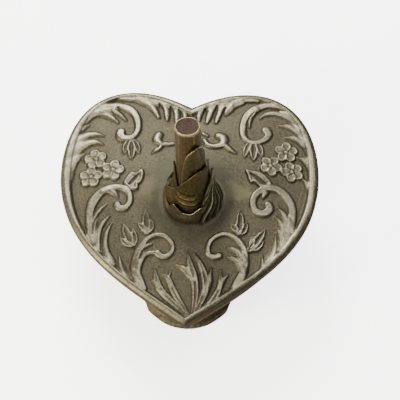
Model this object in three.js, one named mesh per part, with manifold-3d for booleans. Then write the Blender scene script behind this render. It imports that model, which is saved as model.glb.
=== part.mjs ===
// Heart-shaped metal trinket box with a lift-off lid and a leaf-wrapped ring post.
// Millimetres, +Z up. The origin is on the table, under the middle of the lid's outline.
// +Y points to the two lobes of the heart and -Y to its point.
import * as THREE from "three";
import { mergeVertices } from "three/addons/utils/BufferGeometryUtils.js";
import Module from "manifold-3d";

// ---- Driving dimensions -------------------------------------------------------------------------

const LID_WIDTH = 91;
const LID_DEPTH = 90.5;
const FOOT_HEIGHT = 5.7;
const WALL_BOTTOM = 6;
const WALL_TOP = 28.8;
const LID_BOTTOM = 29;
const LID_CREST = 33;
const LANDING_Z = 36.1; // flat round top of the lid's dome, where the post stands
const LANDING_R = 11.5;
const POST_HEIGHT = 46.2; // above the landing
const POST_FOOT = new THREE.Vector3(1.1, -0.8, LANDING_Z);
const POST_LEAN = -0.023; // radians about Y: the top leans to -X
const WALL = 1.8;
const GAP = 0.3; // between pieces that touch

// ---- Finishes -----------------------------------------------------------------------------------

const finish = (color, roughness, metalness) =>
  new THREE.MeshStandardMaterial({ color, roughness, metalness });
const silverPlate = finish(0x9b927e, 0.42, 0.85);
const wornBronze = finish(0x5c4a33, 0.5, 0.8);
const steel = finish(0x8a8a88, 0.35, 0.9);
const velvet = finish(0x5a1824, 0.95, 0);

const group = new THREE.Group();

function add(name, geometry, material, parent = group) {
  const mesh = new THREE.Mesh(geometry, material);
  mesh.name = name;
  parent.add(mesh);
  return mesh;
}

// ---- The heart outline --------------------------------------------------------------------------
// Right half, from the point up to the cleft: a small arc at the point (station 0 to 1), the long
// side (1 to 2), the lobe (2 to 3) and the top down into the cleft (3 to 4). A negative station is
// the same place on the left half. An inset outline lies that far inside the lid's outer edge.

const SIDE_Y = 12; // height of the widest place
const LOBE_X = 20.5;
const CLEFT_Y = 39;
const POINT_HALF_ANGLE = THREE.MathUtils.degToRad(55);
const CLEFT_HALF_ANGLE = THREE.MathUtils.degToRad(63);
const SHARP = 0.6; // radius at the lid's point
const BLUNT = 8; // radius at the body's point
const SHARP_POINT_Y = -LID_DEPTH / 2 - SHARP * (1 / Math.sin(POINT_HALF_ANGLE) - 1);

const along = (from, direction, length) => from.clone().addScaledVector(direction, length);

function bezier(start, startWay, startPull, end, endWay, endPull) {
  const reach = start.distanceTo(end);
  return new THREE.CubicBezierCurve(
    start,
    along(start, startWay, reach * startPull),
    along(end, endWay, reach * endPull),
    end,
  );
}

function halfOutline(inset, pointRadius) {
  const sin = Math.sin(POINT_HALF_ANGLE);
  const cos = Math.cos(POINT_HALF_ANGLE);
  const corner = SHARP_POINT_Y + inset / sin;
  const centre = new THREE.Vector2(0, corner + pointRadius / sin);
  const sideStart = along(centre, new THREE.Vector2(cos, -sin), pointRadius);
  const widest = new THREE.Vector2(LID_WIDTH / 2 - inset, SIDE_Y);
  const lobe = new THREE.Vector2(LOBE_X, LID_DEPTH / 2 - inset);
  const cleft = new THREE.Vector2(0, CLEFT_Y - inset / Math.sin(CLEFT_HALF_ANGLE));
  const outOfCleft = new THREE.Vector2(Math.sin(CLEFT_HALF_ANGLE), Math.cos(CLEFT_HALF_ANGLE));
  const up = new THREE.Vector2(0, 1);
  const right = new THREE.Vector2(1, 0);
  const arcEnd = -POINT_HALF_ANGLE;
  return [
    new THREE.EllipseCurve(0, centre.y, pointRadius, pointRadius, -Math.PI / 2, arcEnd),
    bezier(sideStart, new THREE.Vector2(sin, cos), 0.3, widest, up.clone().negate(), 0.42),
    bezier(widest, up, 0.42, lobe, right, 0.42),
    bezier(lobe, right.clone().negate(), 0.42, cleft, outOfCleft, 0.2),
  ];
}

const outlines = new Map();

function heartPoint(station, inset, pointRadius) {
  const key = `${inset} ${pointRadius}`;
  if (!outlines.has(key)) outlines.set(key, halfOutline(inset, pointRadius));
  const place = Math.min(Math.abs(station), 4 - 1e-9);
  const piece = Math.floor(place);
  const point = outlines.get(key)[piece].getPoint(place - piece);
  if (station < 0) point.x = -point.x;
  return point;
}

// The arc, side, lobe and top in this many steps each.
const STEPS = [2, 11, 9, 5];
const halfStations = STEPS.flatMap((count, piece) =>
  Array.from({ length: count }, (_, i) => piece + i / count),
);
const ROUND = [...halfStations, 4, ...halfStations.slice(1).reverse().map((s) => -s)];

function between(from, to, count) {
  return Array.from({ length: count + 1 }, (_, i) => from + ((to - from) * i) / count);
}

// ---- Solids made of sections --------------------------------------------------------------------

// Joins sections of equally many points. A closed run has no ends; an open one is capped with the
// triangles that fill its flat section.
function joined(sections, closed, sectionShape) {
  const size = sections[0].length;
  const positions = sections.flat().flatMap((p) => [p.x, p.y, p.z]);
  const faces = [];
  const last = closed ? sections.length : sections.length - 1;
  for (let i = 0; i < last; i++) {
    const a = i * size;
    const b = ((i + 1) % sections.length) * size;
    for (let j = 0; j < size; j++) {
      const k = (j + 1) % size;
      faces.push(a + j, b + j, b + k, a + j, b + k, a + k);
    }
  }
  if (!closed) {
    const end = (sections.length - 1) * size;
    const turnedOver = THREE.ShapeUtils.isClockWise(sectionShape);
    for (const triangle of THREE.ShapeUtils.triangulateShape(sectionShape, [])) {
      const [p, q, r] = turnedOver ? triangle.toReversed() : triangle;
      faces.push(p, q, r, end + p, end + r, end + q);
    }
  }
  const geometry = new THREE.BufferGeometry();
  geometry.setAttribute("position", new THREE.Float32BufferAttribute(positions, 3));
  geometry.setIndex(faces);
  geometry.computeVertexNormals();
  return geometry;
}

// A place in a section that runs round the heart: at a height, and either an inset from the edge,
// or a share of the way from the dome's rim to the landing, or a radius about the post.
const RIM_INSET = 6;
const atInset = (z, inset) => ({ z, flat: [z, inset], xy: (s, r) => heartPoint(s, inset, r) });
function onCircle(radius) {
  const centre = new THREE.Vector2(POST_FOOT.x, POST_FOOT.y);
  return (s, r) => heartPoint(s, RIM_INSET, r).sub(centre).setLength(radius).add(centre);
}
const atRadius = (z, radius) => ({ z, xy: onCircle(radius) });
const onDome = (z, share) => ({
  z,
  xy: (s, r) => heartPoint(s, RIM_INSET, r).lerp(onCircle(LANDING_R)(s, r), share),
});

function roundHeart(section, pointRadius, stations = ROUND) {
  const sections = stations.map((s) =>
    section.map(({ z, xy }) => {
      const { x, y } = xy(s, pointRadius);
      return new THREE.Vector3(x, y, z);
    }),
  );
  const closed = stations === ROUND;
  const shape = closed ? null : section.map(({ flat }) => new THREE.Vector2(flat[1], flat[0]));
  return joined(sections, closed, shape);
}

function heartPlate(inset, pointRadius, bottom, top) {
  const points = ROUND.map((s) => heartPoint(s, inset, pointRadius));
  const plate = new THREE.ExtrudeGeometry(new THREE.Shape(points), {
    depth: top - bottom,
    bevelEnabled: false,
  });
  return plate.translate(0, 0, bottom);
}

// ---- Body: wall, base plate, feet ---------------------------------------------------------------

// Height and inset of the wall's outside: upright under the lid, then drawn in towards the feet.
const WALL_OUTSIDE = [
  [WALL_BOTTOM, 7.6],
  [9, 6.4],
  [12, 4.9],
  [16, 3.6],
  [20, 2.9],
  [25, 2.2],
  [WALL_TOP, 2],
];
const WALL_INSIDE_TOP = 2 + WALL;
const LEDGE_Z = 7.4;
const LEDGE_INSET = 10.4;
const wallInside = WALL_OUTSIDE.slice(1).map(([z, inset]) => [z, inset + WALL]);

const wallSection = [
  ...WALL_OUTSIDE,
  ...wallInside.toReversed(),
  [LEDGE_Z, 8.2],
  [LEDGE_Z, LEDGE_INSET],
  [WALL_BOTTOM, LEDGE_INSET],
];
add("body_wall", roundHeart(wallSection.map(([z, inset]) => atInset(z, inset)), BLUNT), silverPlate);

const BASE_TOP = 8.7;
add("base_plate", heartPlate(8.6, BLUNT, LEDGE_Z + 0.1, BASE_TOP), silverPlate);

// Outside of a bracket foot: a hollow under its top edge and a toe that turns out at the table.
const FOOT_INNER = 11.2;
const footSection = (further) =>
  [
    [0, FOOT_INNER],
    [0, 7.9],
    [0.6, 7.6],
    [1.6, 8.2],
    [2.8, 9],
    [4.4, 8.6],
    [FOOT_HEIGHT, 7.3],
    [FOOT_HEIGHT, FOOT_INNER],
  ].map(([z, inset]) => atInset(z, inset - further));
// The front foot is a rounder shell than the body's point, and stands further out at its sides.
const FRONT_FOOT_ROUND = 14;
const FRONT_FOOT_FURTHER = 1.1;
const FRONT_FOOT_END = 1.19;
const frontFoot = [
  ...between(-FRONT_FOOT_END, -1, 2),
  ...between(-0.75, 0.75, 6),
  ...between(1, FRONT_FOOT_END, 2),
];
const frontSection = footSection(FRONT_FOOT_FURTHER);
add("front_foot", roundHeart(frontSection, FRONT_FOOT_ROUND, frontFoot), silverPlate);
const REAR_FOOT = [2.35, 2.9];
const rearStations = between(...REAR_FOOT, 7);
add("rear_right_foot", roundHeart(footSection(0), BLUNT, rearStations), silverPlate);
const mirrored = rearStations.map((s) => -s).reverse();
add("rear_left_foot", roundHeart(footSection(0), BLUNT, mirrored), silverPlate);

// ---- Linings of the body ------------------------------------------------------------------------

const PAD_TOP = 11.3;
add("floor_pad", heartPlate(8.6, BLUNT, BASE_TOP + GAP, PAD_TOP), velvet);

const LINING = 0.9;
const liningOutside = [
  [11.9, 4.95 + WALL],
  [16, 3.6 + WALL],
  [20, 2.9 + WALL],
  [25, 2.2 + WALL],
].map(([z, inset]) => [z, inset + GAP]);
const liningInside = liningOutside.toReversed().map(([z, inset]) => [z, inset + LINING]);
const liningSection = [...liningOutside, ...liningInside].map(([z, inset]) => atInset(z, inset));
add("wall_lining", roundHeart(liningSection, BLUNT), velvet);

// ---- Lid: shell, locating flange, lining --------------------------------------------------------

const LID_THICKNESS = 1.8;
const HOLE_R = 2.5;
const lidSection = [
  // Outside, from the rim's lower edge over the crest and the sunk field to the landing.
  atInset(LID_BOTTOM, 0.3),
  atInset(30.6, 0),
  atInset(32.2, 0.35),
  atInset(LID_CREST, 1.3),
  atInset(32.7, 2.4),
  atInset(31.8, 3.6),
  atInset(32, RIM_INSET),
  onDome(33.3, 0.35),
  onDome(34.2, 0.65),
  onDome(34.9, 0.86),
  atRadius(LANDING_Z, LANDING_R),
  atRadius(LANDING_Z, HOLE_R),
  // Underside, back to the rim.
  atRadius(LANDING_Z - LID_THICKNESS, HOLE_R),
  atRadius(LANDING_Z - LID_THICKNESS, LANDING_R - 0.8),
  onDome(33.1, 0.86),
  onDome(31.5, 0.35),
  onDome(30.3, 0.06),
  atInset(LID_BOTTOM, 5.8),
];
add("lid_shell", roundHeart(lidSection, SHARP), silverPlate);

const FLANGE_OUTER = WALL_INSIDE_TOP + 0.5;
const FLANGE_INNER = FLANGE_OUTER + 1.1;
const FLANGE_BOTTOM = 25.5;
const flangeTop = LID_BOTTOM - 0.2;
const flangeSection = [
  atInset(FLANGE_BOTTOM, FLANGE_OUTER),
  atInset(flangeTop, FLANGE_OUTER),
  atInset(flangeTop, FLANGE_INNER),
  atInset(FLANGE_BOTTOM, FLANGE_INNER),
];
add("lid_flange", roundHeart(flangeSection, BLUNT), silverPlate);
add("lid_lining", heartPlate(FLANGE_INNER + 0.4, BLUNT, 26.6, 28.6), velvet);

// ---- Post: all its pieces stand in one leaning group, with their heights above the landing ------

const post = new THREE.Group();
post.position.copy(POST_FOOT);
post.rotation.y = POST_LEAN;
group.add(post);

// A lathe turns about Y, so it is tipped up to turn about Z.
function turned(profile, segments) {
  const points = profile.map(([radius, height]) => new THREE.Vector2(radius, height));
  return new THREE.LatheGeometry(points, segments).rotateX(Math.PI / 2);
}

const CUP_LIP = 4.9;
const cupProfile = [
  [HOLE_R, 0.4],
  [9.2, 0.4],
  [9.9, 1.4],
  [9.7, 3.2],
  [9, CUP_LIP],
  [8.3, CUP_LIP],
  [8.8, 2.8],
  [8.2, 1.1],
  [HOLE_R, 1.1],
  [HOLE_R, 0.4],
];
add("post_cup", turned(cupProfile, 36), silverPlate, post);

const BORE_R = 2.3;
const BORE_TOP = 11.9;
// Height and radius of the post's outside.
const POST_OUTSIDE = [
  [1.4, 5.9],
  [5, 5.9],
  [10, 5.3],
  [14, 4.9],
  [20, 4.5],
  [27, 4.35],
  [40, 4.1],
  [POST_HEIGHT - 0.6, 4],
];
const postProfile = [
  [0, BORE_TOP],
  [BORE_R, BORE_TOP],
  [BORE_R, POST_OUTSIDE[0][0]],
  ...POST_OUTSIDE.map(([height, radius]) => [radius, height]),
  [3.6, POST_HEIGHT],
  [0, POST_HEIGHT],
];
add("ring_post", turned(postProfile, 24), wornBronze, post);

function postRadius(height) {
  const i = Math.max(1, POST_OUTSIDE.findIndex(([h]) => h >= height));
  const [[h0, r0], [h1, r1]] = [POST_OUTSIDE[i - 1], POST_OUTSIDE[i]];
  return THREE.MathUtils.mapLinear(height, h0, h1, r0, r1);
}

// ---- Leaves wrapped round the post --------------------------------------------------------------
// A leaf lies between two margins, each a curve through places given as degrees round the post (0 is
// the front, 90 the right side) and height. Its layer says how many leaves lie under it.

const LEAF = 0.5;
const LAYER = 1.05;
const ALONG_STEPS = 9;
const DEGREES_PER_STEP = 13;

function margin(places) {
  const points = places.map(([degrees, height]) => new THREE.Vector3(degrees / 10, height, 0));
  return new THREE.CatmullRomCurve3(points).getPoints(ALONG_STEPS);
}

function leaf(leftMargin, rightMargin, innerRadius) {
  const left = margin(leftMargin);
  const right = margin(rightMargin);
  const widest = Math.max(...left.map((place, i) => (right[i].x - place.x) * 10));
  const steps = Math.ceil(widest / DEGREES_PER_STEP);
  const sheet = (lift) => (i, j) => {
    const place = left[i].clone().lerp(right[i], j / steps);
    const angle = THREE.MathUtils.degToRad(place.x * 10);
    const radius = innerRadius(place.y) + lift;
    return new THREE.Vector3(Math.sin(angle) * radius, -Math.cos(angle) * radius, place.y);
  };
  const across = between(0, steps, steps);
  const outer = sheet(LEAF);
  const inner = sheet(0);
  const sections = left.map((_, i) => [
    ...across.map((j) => inner(i, j)),
    ...across.toReversed().map((j) => outer(i, j)),
  ]);
  const shape = [
    ...across.map((j) => new THREE.Vector2(j, 0)),
    ...across.toReversed().map((j) => new THREE.Vector2(j, 1)),
  ];
  return joined(sections, false, shape);
}

const inLayer = (layer) => (height) => postRadius(height) + 0.2 + layer * LAYER;

// The outer layer runs down outside the cup.
function overCup(height) {
  const clearOfCup = THREE.MathUtils.mapLinear(height, 1.4, CUP_LIP, 10.2, 9.35);
  const free = inLayer(2)(height);
  const share = THREE.MathUtils.smoothstep(height, CUP_LIP + 0.6, 13);
  return THREE.MathUtils.lerp(clearOfCup, free, share);
}

// [name, left margin, right margin, inner radius], from the bottom of each leaf to its tip.
const leaves = [
  [
    "upper_right_leaf",
    [[-32, 8], [-31, 20], [-24, 30], [-8, 36.5], [40, 40.5]],
    [[118, 8], [112, 20], [100, 30], [78, 36.5], [43, 40.5]],
    inLayer(0),
  ],
  [
    "upper_left_leaf",
    [[-150, 6], [-146, 14], [-134, 21], [-114, 27], [-92, 31.5]],
    [[-40, 6], [-44, 14], [-56, 21], [-72, 27], [-89, 31.5]],
    inLayer(0),
  ],
  [
    "upper_back_leaf",
    [[126, 6], [130, 16], [140, 25], [156, 33], [176, 38]],
    [[204, 6], [206, 16], [202, 25], [194, 33], [179, 38]],
    inLayer(0),
  ],
  [
    "front_wrap_leaf",
    [[-95, 3.4], [-92, 6], [-82, 9.4], [-52, 14.5], [-15, 22], [30, 27.2], [106, 24.6]],
    [[30, 3.4], [46, 5.4], [66, 8.4], [86, 12], [98, 16], [106, 20], [110, 23.6]],
    inLayer(1),
  ],
  [
    "back_wrap_leaf",
    [[118, 3.4], [120, 8], [130, 14], [152, 20], [190, 25]],
    [[258, 3.4], [256, 8], [246, 14], [228, 20], [194, 25]],
    inLayer(1),
  ],
  [
    "right_fringe_leaf",
    [[16, 1.6], [20, 5], [30, 10], [50, 15.5], [84, 22]],
    [[104, 1.6], [104, 5], [102, 10], [97, 15.5], [88, 22]],
    overCup,
  ],
  [
    "back_fringe_leaf",
    [[168, 1.6], [170, 5], [178, 10], [190, 15], [208, 20]],
    [[256, 1.6], [254, 5], [244, 10], [230, 15], [212, 20]],
    overCup,
  ],
];
for (const [name, left, right, innerRadius] of leaves) {
  add(name, leaf(left, right, innerRadius), wornBronze, post);
}

// ---- Screw and washer under the lid -------------------------------------------------------------

const WASHER_TOP = -LID_THICKNESS - GAP;
const WASHER_R = 6;
const washerProfile = [
  [2.4, WASHER_TOP - 1],
  [WASHER_R, WASHER_TOP - 1],
  [WASHER_R, WASHER_TOP],
  [2.4, WASHER_TOP],
  [2.4, WASHER_TOP - 1],
];
add("post_washer", turned(washerProfile, 24), steel, post);

const SHANK_R = 2;
const HEAD_R = 4;
const HEAD_TOP = WASHER_TOP - 1 - GAP;
const HEAD_BOTTOM = HEAD_TOP - 2.6;
const SHANK_END = BORE_TOP - 0.7;
const screwProfile = [
  [0, HEAD_BOTTOM],
  [HEAD_R - 0.6, HEAD_BOTTOM],
  [HEAD_R, HEAD_BOTTOM + 0.6],
  [HEAD_R, HEAD_TOP],
  [SHANK_R, HEAD_TOP],
  [SHANK_R, SHANK_END - 0.6],
  [SHANK_R - 0.6, SHANK_END],
  [0, SHANK_END],
];
const SLOT_WIDTH = 1.1;
const SLOT_DEPTH = 1.2;

const wasm = await Module();
wasm.setup();

function solid(geometry) {
  const bare = new THREE.BufferGeometry();
  bare.setAttribute("position", geometry.getAttribute("position"));
  bare.setIndex(geometry.index);
  const merged = mergeVertices(bare, 1e-4);
  return new wasm.Manifold(
    new wasm.Mesh({
      numProp: 3,
      vertProperties: merged.attributes.position.array,
      triVerts: new Uint32Array(merged.index.array),
    }),
  );
}

function geometryOf(made) {
  const mesh = made.getMesh();
  const geometry = new THREE.BufferGeometry();
  geometry.setAttribute("position", new THREE.BufferAttribute(mesh.vertProperties, 3));
  geometry.setIndex(new THREE.BufferAttribute(mesh.triVerts, 1));
  geometry.computeVertexNormals();
  return geometry;
}

const slot = new THREE.BoxGeometry(3 * HEAD_R, SLOT_WIDTH, 2 * SLOT_DEPTH);
slot.translate(0, 0, HEAD_BOTTOM);
const screw = solid(turned(screwProfile, 20)).subtract(solid(slot));
add("post_screw", geometryOf(screw), steel, post);

export default group;
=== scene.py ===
import math
import bmesh
import bpy
import numpy as np
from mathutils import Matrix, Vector


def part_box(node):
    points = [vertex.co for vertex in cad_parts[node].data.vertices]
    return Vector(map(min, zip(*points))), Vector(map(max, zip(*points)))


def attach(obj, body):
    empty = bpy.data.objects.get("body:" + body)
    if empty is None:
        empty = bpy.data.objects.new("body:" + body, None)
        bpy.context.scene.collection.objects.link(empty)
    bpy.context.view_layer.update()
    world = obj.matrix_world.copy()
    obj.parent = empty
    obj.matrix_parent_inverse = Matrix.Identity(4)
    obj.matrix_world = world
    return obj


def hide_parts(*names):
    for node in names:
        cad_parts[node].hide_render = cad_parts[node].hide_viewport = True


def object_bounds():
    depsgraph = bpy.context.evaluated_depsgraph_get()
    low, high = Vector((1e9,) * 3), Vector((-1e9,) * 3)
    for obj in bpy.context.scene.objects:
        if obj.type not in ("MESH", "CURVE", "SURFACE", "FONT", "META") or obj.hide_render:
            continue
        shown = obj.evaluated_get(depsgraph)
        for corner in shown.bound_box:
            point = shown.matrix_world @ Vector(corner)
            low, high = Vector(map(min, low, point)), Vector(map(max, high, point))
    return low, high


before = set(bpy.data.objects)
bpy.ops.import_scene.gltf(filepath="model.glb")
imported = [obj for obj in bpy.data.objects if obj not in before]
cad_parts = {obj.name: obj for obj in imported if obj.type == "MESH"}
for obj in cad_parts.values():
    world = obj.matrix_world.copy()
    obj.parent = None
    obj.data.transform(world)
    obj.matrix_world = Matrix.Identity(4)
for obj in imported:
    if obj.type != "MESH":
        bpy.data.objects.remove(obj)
cad_low, cad_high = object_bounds()

# ---- Body wall ----------------------------------------------------------------------------------
# The box's side is one casting in white metal, silver plated, that follows the heart of the lid
# 2 mm further in. It is upright under the lid, draws in to the feet, and has a ledge at its foot
# for the base plate. Two turned beads and a fine line run round it.

MM = 0.001
LID_WIDTH, LID_DEPTH = ((cad_high - cad_low) / MM)[:2]
SIDE_Y, LOBE_X, CLEFT_Y = 12.0, 20.5, 39.0
POINT_ANGLE, CLEFT_ANGLE = math.radians(55), math.radians(63)
SHARP, BLUNT = 0.6, 8.0  # radius at the heart's point: on the lid, and on the body
SHARP_POINT_Y = -LID_DEPTH / 2 - SHARP * (1 / math.sin(POINT_ANGLE) - 1)


def bezier(start, start_way, start_pull, end, end_way, end_pull, t):
    start, end = np.array(start), np.array(end)
    reach = np.linalg.norm(end - start)
    a = start + np.array(start_way) * reach * start_pull
    b = end + np.array(end_way) * reach * end_pull
    t = t[:, None]
    return (1 - t) ** 3 * start + 3 * t * (1 - t) ** 2 * a + 3 * t**2 * (1 - t) * b + t**3 * end


def heart(station, inset=0.0, point_radius=SHARP):
    """Places on the heart's outline, in mm. Station 0 to 1 is the small arc at the point, 1 to 2 the
    long side, 2 to 3 the lobe and 3 to 4 the top down into the cleft; negative ones are on the left."""
    station = np.asarray(station, float)
    place = np.minimum(np.abs(station), 4 - 1e-9)
    sin, cos = math.sin(POINT_ANGLE), math.cos(POINT_ANGLE)
    centre_y = SHARP_POINT_Y + (inset + point_radius) / sin
    side = (point_radius * cos, centre_y - point_radius * sin)
    widest = (LID_WIDTH / 2 - inset, SIDE_Y)
    lobe = (LOBE_X, LID_DEPTH / 2 - inset)
    cleft = (0.0, CLEFT_Y - inset / math.sin(CLEFT_ANGLE))
    out_of_cleft = (math.sin(CLEFT_ANGLE), math.cos(CLEFT_ANGLE))
    turn = -math.pi / 2 + np.clip(place, 0, 1) * (math.pi / 2 - POINT_ANGLE)
    points = np.stack([point_radius * np.cos(turn), centre_y + point_radius * np.sin(turn)], axis=1)
    pieces = [
        (side, (sin, cos), 0.3, widest, (0, -1), 0.42),
        (widest, (0, 1), 0.42, lobe, (1, 0), 0.42),
        (lobe, (-1, 0), 0.42, cleft, out_of_cleft, 0.2),
    ]
    for number, piece in enumerate(pieces, start=1):
        here = place >= number
        points[here] = bezier(*piece, place[here] - number)
    points[:, 0] = np.where(station < 0, -points[:, 0], points[:, 0])
    return points


def even_stations(count, inset=0.0, point_radius=SHARP, start=-4.0, end=4.0):
    """Stations that stand equally far apart along the outline, from the cleft round to the cleft."""
    fine = np.linspace(start, end, 4001)
    steps = np.linalg.norm(np.diff(heart(fine, inset, point_radius), axis=0), axis=1)
    run = np.concatenate([[0], np.cumsum(steps)])
    whole = start == -4.0 and end == 4.0
    return np.interp(np.linspace(0, run[-1], count, endpoint=not whole), run, fine)


def ease(low, high, x):
    t = np.clip((x - low) / (high - low), 0, 1)
    return t * t * (3 - 2 * t)


def smooth_table(values, t):
    """The value at share t of a list of evenly spread values, without corners."""
    values = np.atleast_1d(np.asarray(values, float))
    if len(values) == 1:
        return np.full(np.shape(t), values[0])
    place = np.clip(t, 0, 1) * (len(values) - 1)
    k = np.minimum(place.astype(int), len(values) - 2)
    f = ease(0, 1, place - k)
    return values[k] * (1 - f) + values[k + 1] * f


def strip(first, second, count_first, count_second, closed):
    """Faces between two rows of vertices, given by their first index. One row may have half as many."""
    if count_first < count_second:
        return [face[::-1] for face in strip(second, first, count_second, count_first, closed)]
    last = count_second if closed else count_second - 1
    k = np.arange(last)
    after = (k + 1) % count_second
    if count_first == count_second:
        return np.stack([first + k, first + after, second + after, second + k], axis=1).tolist()
    middle = 2 * k + 1
    far = (2 * k + 2) % count_first
    faces = np.stack([first + 2 * k, first + middle, second + k], axis=1).tolist()
    faces += np.stack([first + middle, second + after, second + k], axis=1).tolist()
    faces += np.stack([first + middle, first + far, second + after], axis=1).tolist()
    return faces


def metal_skin(name, rows, closed=True, looped=False, tone=None, ends=False):
    """A mesh from rows of points in mm. closed joins each row's ends, looped the last row to the
    first, and ends fills the two open ends of a looped run. tone is one number for each point."""
    starts = np.concatenate([[0], np.cumsum([len(row) for row in rows])])
    faces = []
    pairs = list(zip(range(len(rows)), range(1, len(rows))))
    if looped:
        pairs.append((len(rows) - 1, 0))
    for a, b in pairs:
        faces += strip(int(starts[a]), int(starts[b]), len(rows[a]), len(rows[b]), closed)
    if ends:
        faces.append([int(s) for s in starts[:-1]])
        faces.append([int(s) + len(rows[0]) - 1 for s in starts[:-1]][::-1])
    mesh = bpy.data.meshes.new(name)
    mesh.from_pydata((np.vstack(rows) * MM).tolist(), [], faces)
    if tone is not None:
        mesh.attributes.new("relief", "FLOAT", "POINT").data.foreach_set("value", np.concatenate(tone))
    mesh.polygons.foreach_set("use_smooth", [True] * len(mesh.polygons))
    mesh.update()
    piece = bpy.data.objects.new(name, mesh)
    bpy.context.scene.collection.objects.link(piece)
    return piece


def heart_rows(section, stations, point_radius):
    """One row of points for each (height, inset) of a section."""
    rows = []
    for height, inset in section:
        flat = heart(stations, inset, point_radius)
        rows.append(np.column_stack([flat, np.full(len(flat), height)]))
    return rows


def linear(red, green, blue):
    """A colour given as on a screen, from 0 to 255, as the shader's own values."""
    return tuple((c / 255 / 12.92) if c / 255 <= 0.04045 else ((c / 255 + 0.055) / 1.055) ** 2.4
                 for c in (red, green, blue)) + (1.0,)


def new_group(name, inputs, outputs):
    group = bpy.data.node_groups.new(name, "ShaderNodeTree")
    for socket, kind, value in inputs:
        made = group.interface.new_socket(socket, in_out="INPUT", socket_type=kind)
        made.default_value = value
    for socket, kind in outputs:
        group.interface.new_socket(socket, in_out="OUTPUT", socket_type=kind)
    return group, group.nodes.new("NodeGroupInput"), group.nodes.new("NodeGroupOutput")


def math_node(tree, operation, a, b, clamp=False):
    node = tree.nodes.new("ShaderNodeMath")
    node.operation = operation
    node.use_clamp = clamp
    for socket, value in zip(node.inputs, (a, b)):
        if isinstance(value, (int, float)):
            socket.default_value = value
        else:
            tree.links.new(value, socket)
    return node.outputs[0]


def noise_node(tree, scale, detail, roughness=0.55, stretch=None):
    place = tree.nodes.new("ShaderNodeTexCoord").outputs["Object"]
    if stretch is not None:
        mapping = tree.nodes.new("ShaderNodeMapping")
        mapping.inputs["Scale"].default_value = stretch
        tree.links.new(place, mapping.inputs["Vector"])
        place = mapping.outputs[0]
    node = tree.nodes.new("ShaderNodeTexNoise")
    tree.links.new(place, node.inputs["Vector"])
    if isinstance(scale, (int, float)):
        node.inputs["Scale"].default_value = scale
    else:
        tree.links.new(scale, node.inputs["Scale"])
    node.inputs["Detail"].default_value = detail
    node.inputs["Roughness"].default_value = roughness
    return node.outputs["Fac"]


def mix_colour(tree, share, a, b, blend="MIX"):
    node = tree.nodes.new("ShaderNodeMix")
    node.data_type = "RGBA"
    node.blend_type = blend
    for socket, value in ((node.inputs[0], share), (node.inputs[6], a), (node.inputs[7], b)):
        if isinstance(value, (int, float, tuple)):
            socket.default_value = value
        else:
            tree.links.new(value, socket)
    return node.outputs[2]


def ranged(tree, value, low, high, to_low, to_high):
    node = tree.nodes.new("ShaderNodeMapRange")
    node.interpolation_type = "SMOOTHSTEP"
    tree.links.new(value, node.inputs["Value"])
    for socket, number in zip(("From Min", "From Max", "To Min", "To Max"), (low, high, to_low, to_high)):
        node.inputs[socket].default_value = number
    return node.outputs[0]


def tarnish_and_light_group():
    """Tarnish that stays in the hollows and is rubbed off the high places, with the casting's grain.
    Relief is below 0 in a hollow and above 0 on a high place; it is also raised for a painted
    highlight and lowered for painted shade."""
    colour = "NodeSocketColor"
    number = "NodeSocketFloat"
    group, given, out = new_group(
        "tarnish_and_light",
        [("Relief", number, 0.0), ("Bright", colour, (1, 1, 1, 1)), ("Ground", colour, (1, 1, 1, 1)),
         ("Dark", colour, (0, 0, 0, 1)), ("Stain", colour, (0, 0, 0, 1)), ("Grain Scale", number, 1500.0)],
        [("Color", colour), ("Roughness", number), ("Height", number)],
    )
    cloud = noise_node(group, 70.0, 4)
    smudge = noise_node(group, 330.0, 6, 0.68)
    grain = noise_node(group, given.outputs["Grain Scale"], 3, 0.7)
    wander = math_node(group, "MULTIPLY", math_node(group, "SUBTRACT", smudge, 0.5), 0.5)
    level = math_node(group, "ADD", given.outputs["Relief"], wander)
    rubbed_and_lit = ranged(group, level, 0.06, 0.52, 0.0, 1.0)
    kept_and_shaded = ranged(group, level, -0.75, -0.15, 1.0, 0.0)
    base = mix_colour(group, rubbed_and_lit, given.outputs["Ground"], given.outputs["Bright"])
    base = mix_colour(group, kept_and_shaded, base, given.outputs["Dark"])
    stained = ranged(group, cloud, 0.5, 0.72, 0.0, 0.55)
    base = mix_colour(group, stained, base, given.outputs["Stain"])
    speck = ranged(group, grain, 0.3, 0.7, 0.62, 1.32)
    base = mix_colour(group, 1.0, base, speck, "MULTIPLY")
    rough = ranged(group, level, -0.3, 0.5, 0.56, 0.34)
    rough = math_node(group, "ADD", rough, math_node(group, "MULTIPLY", grain, 0.12))
    group.links.new(base, out.inputs["Color"])
    group.links.new(rough, out.inputs["Roughness"])
    group.links.new(grain, out.inputs["Height"])
    return group


TARNISH_AND_LIGHT = tarnish_and_light_group()


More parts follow.
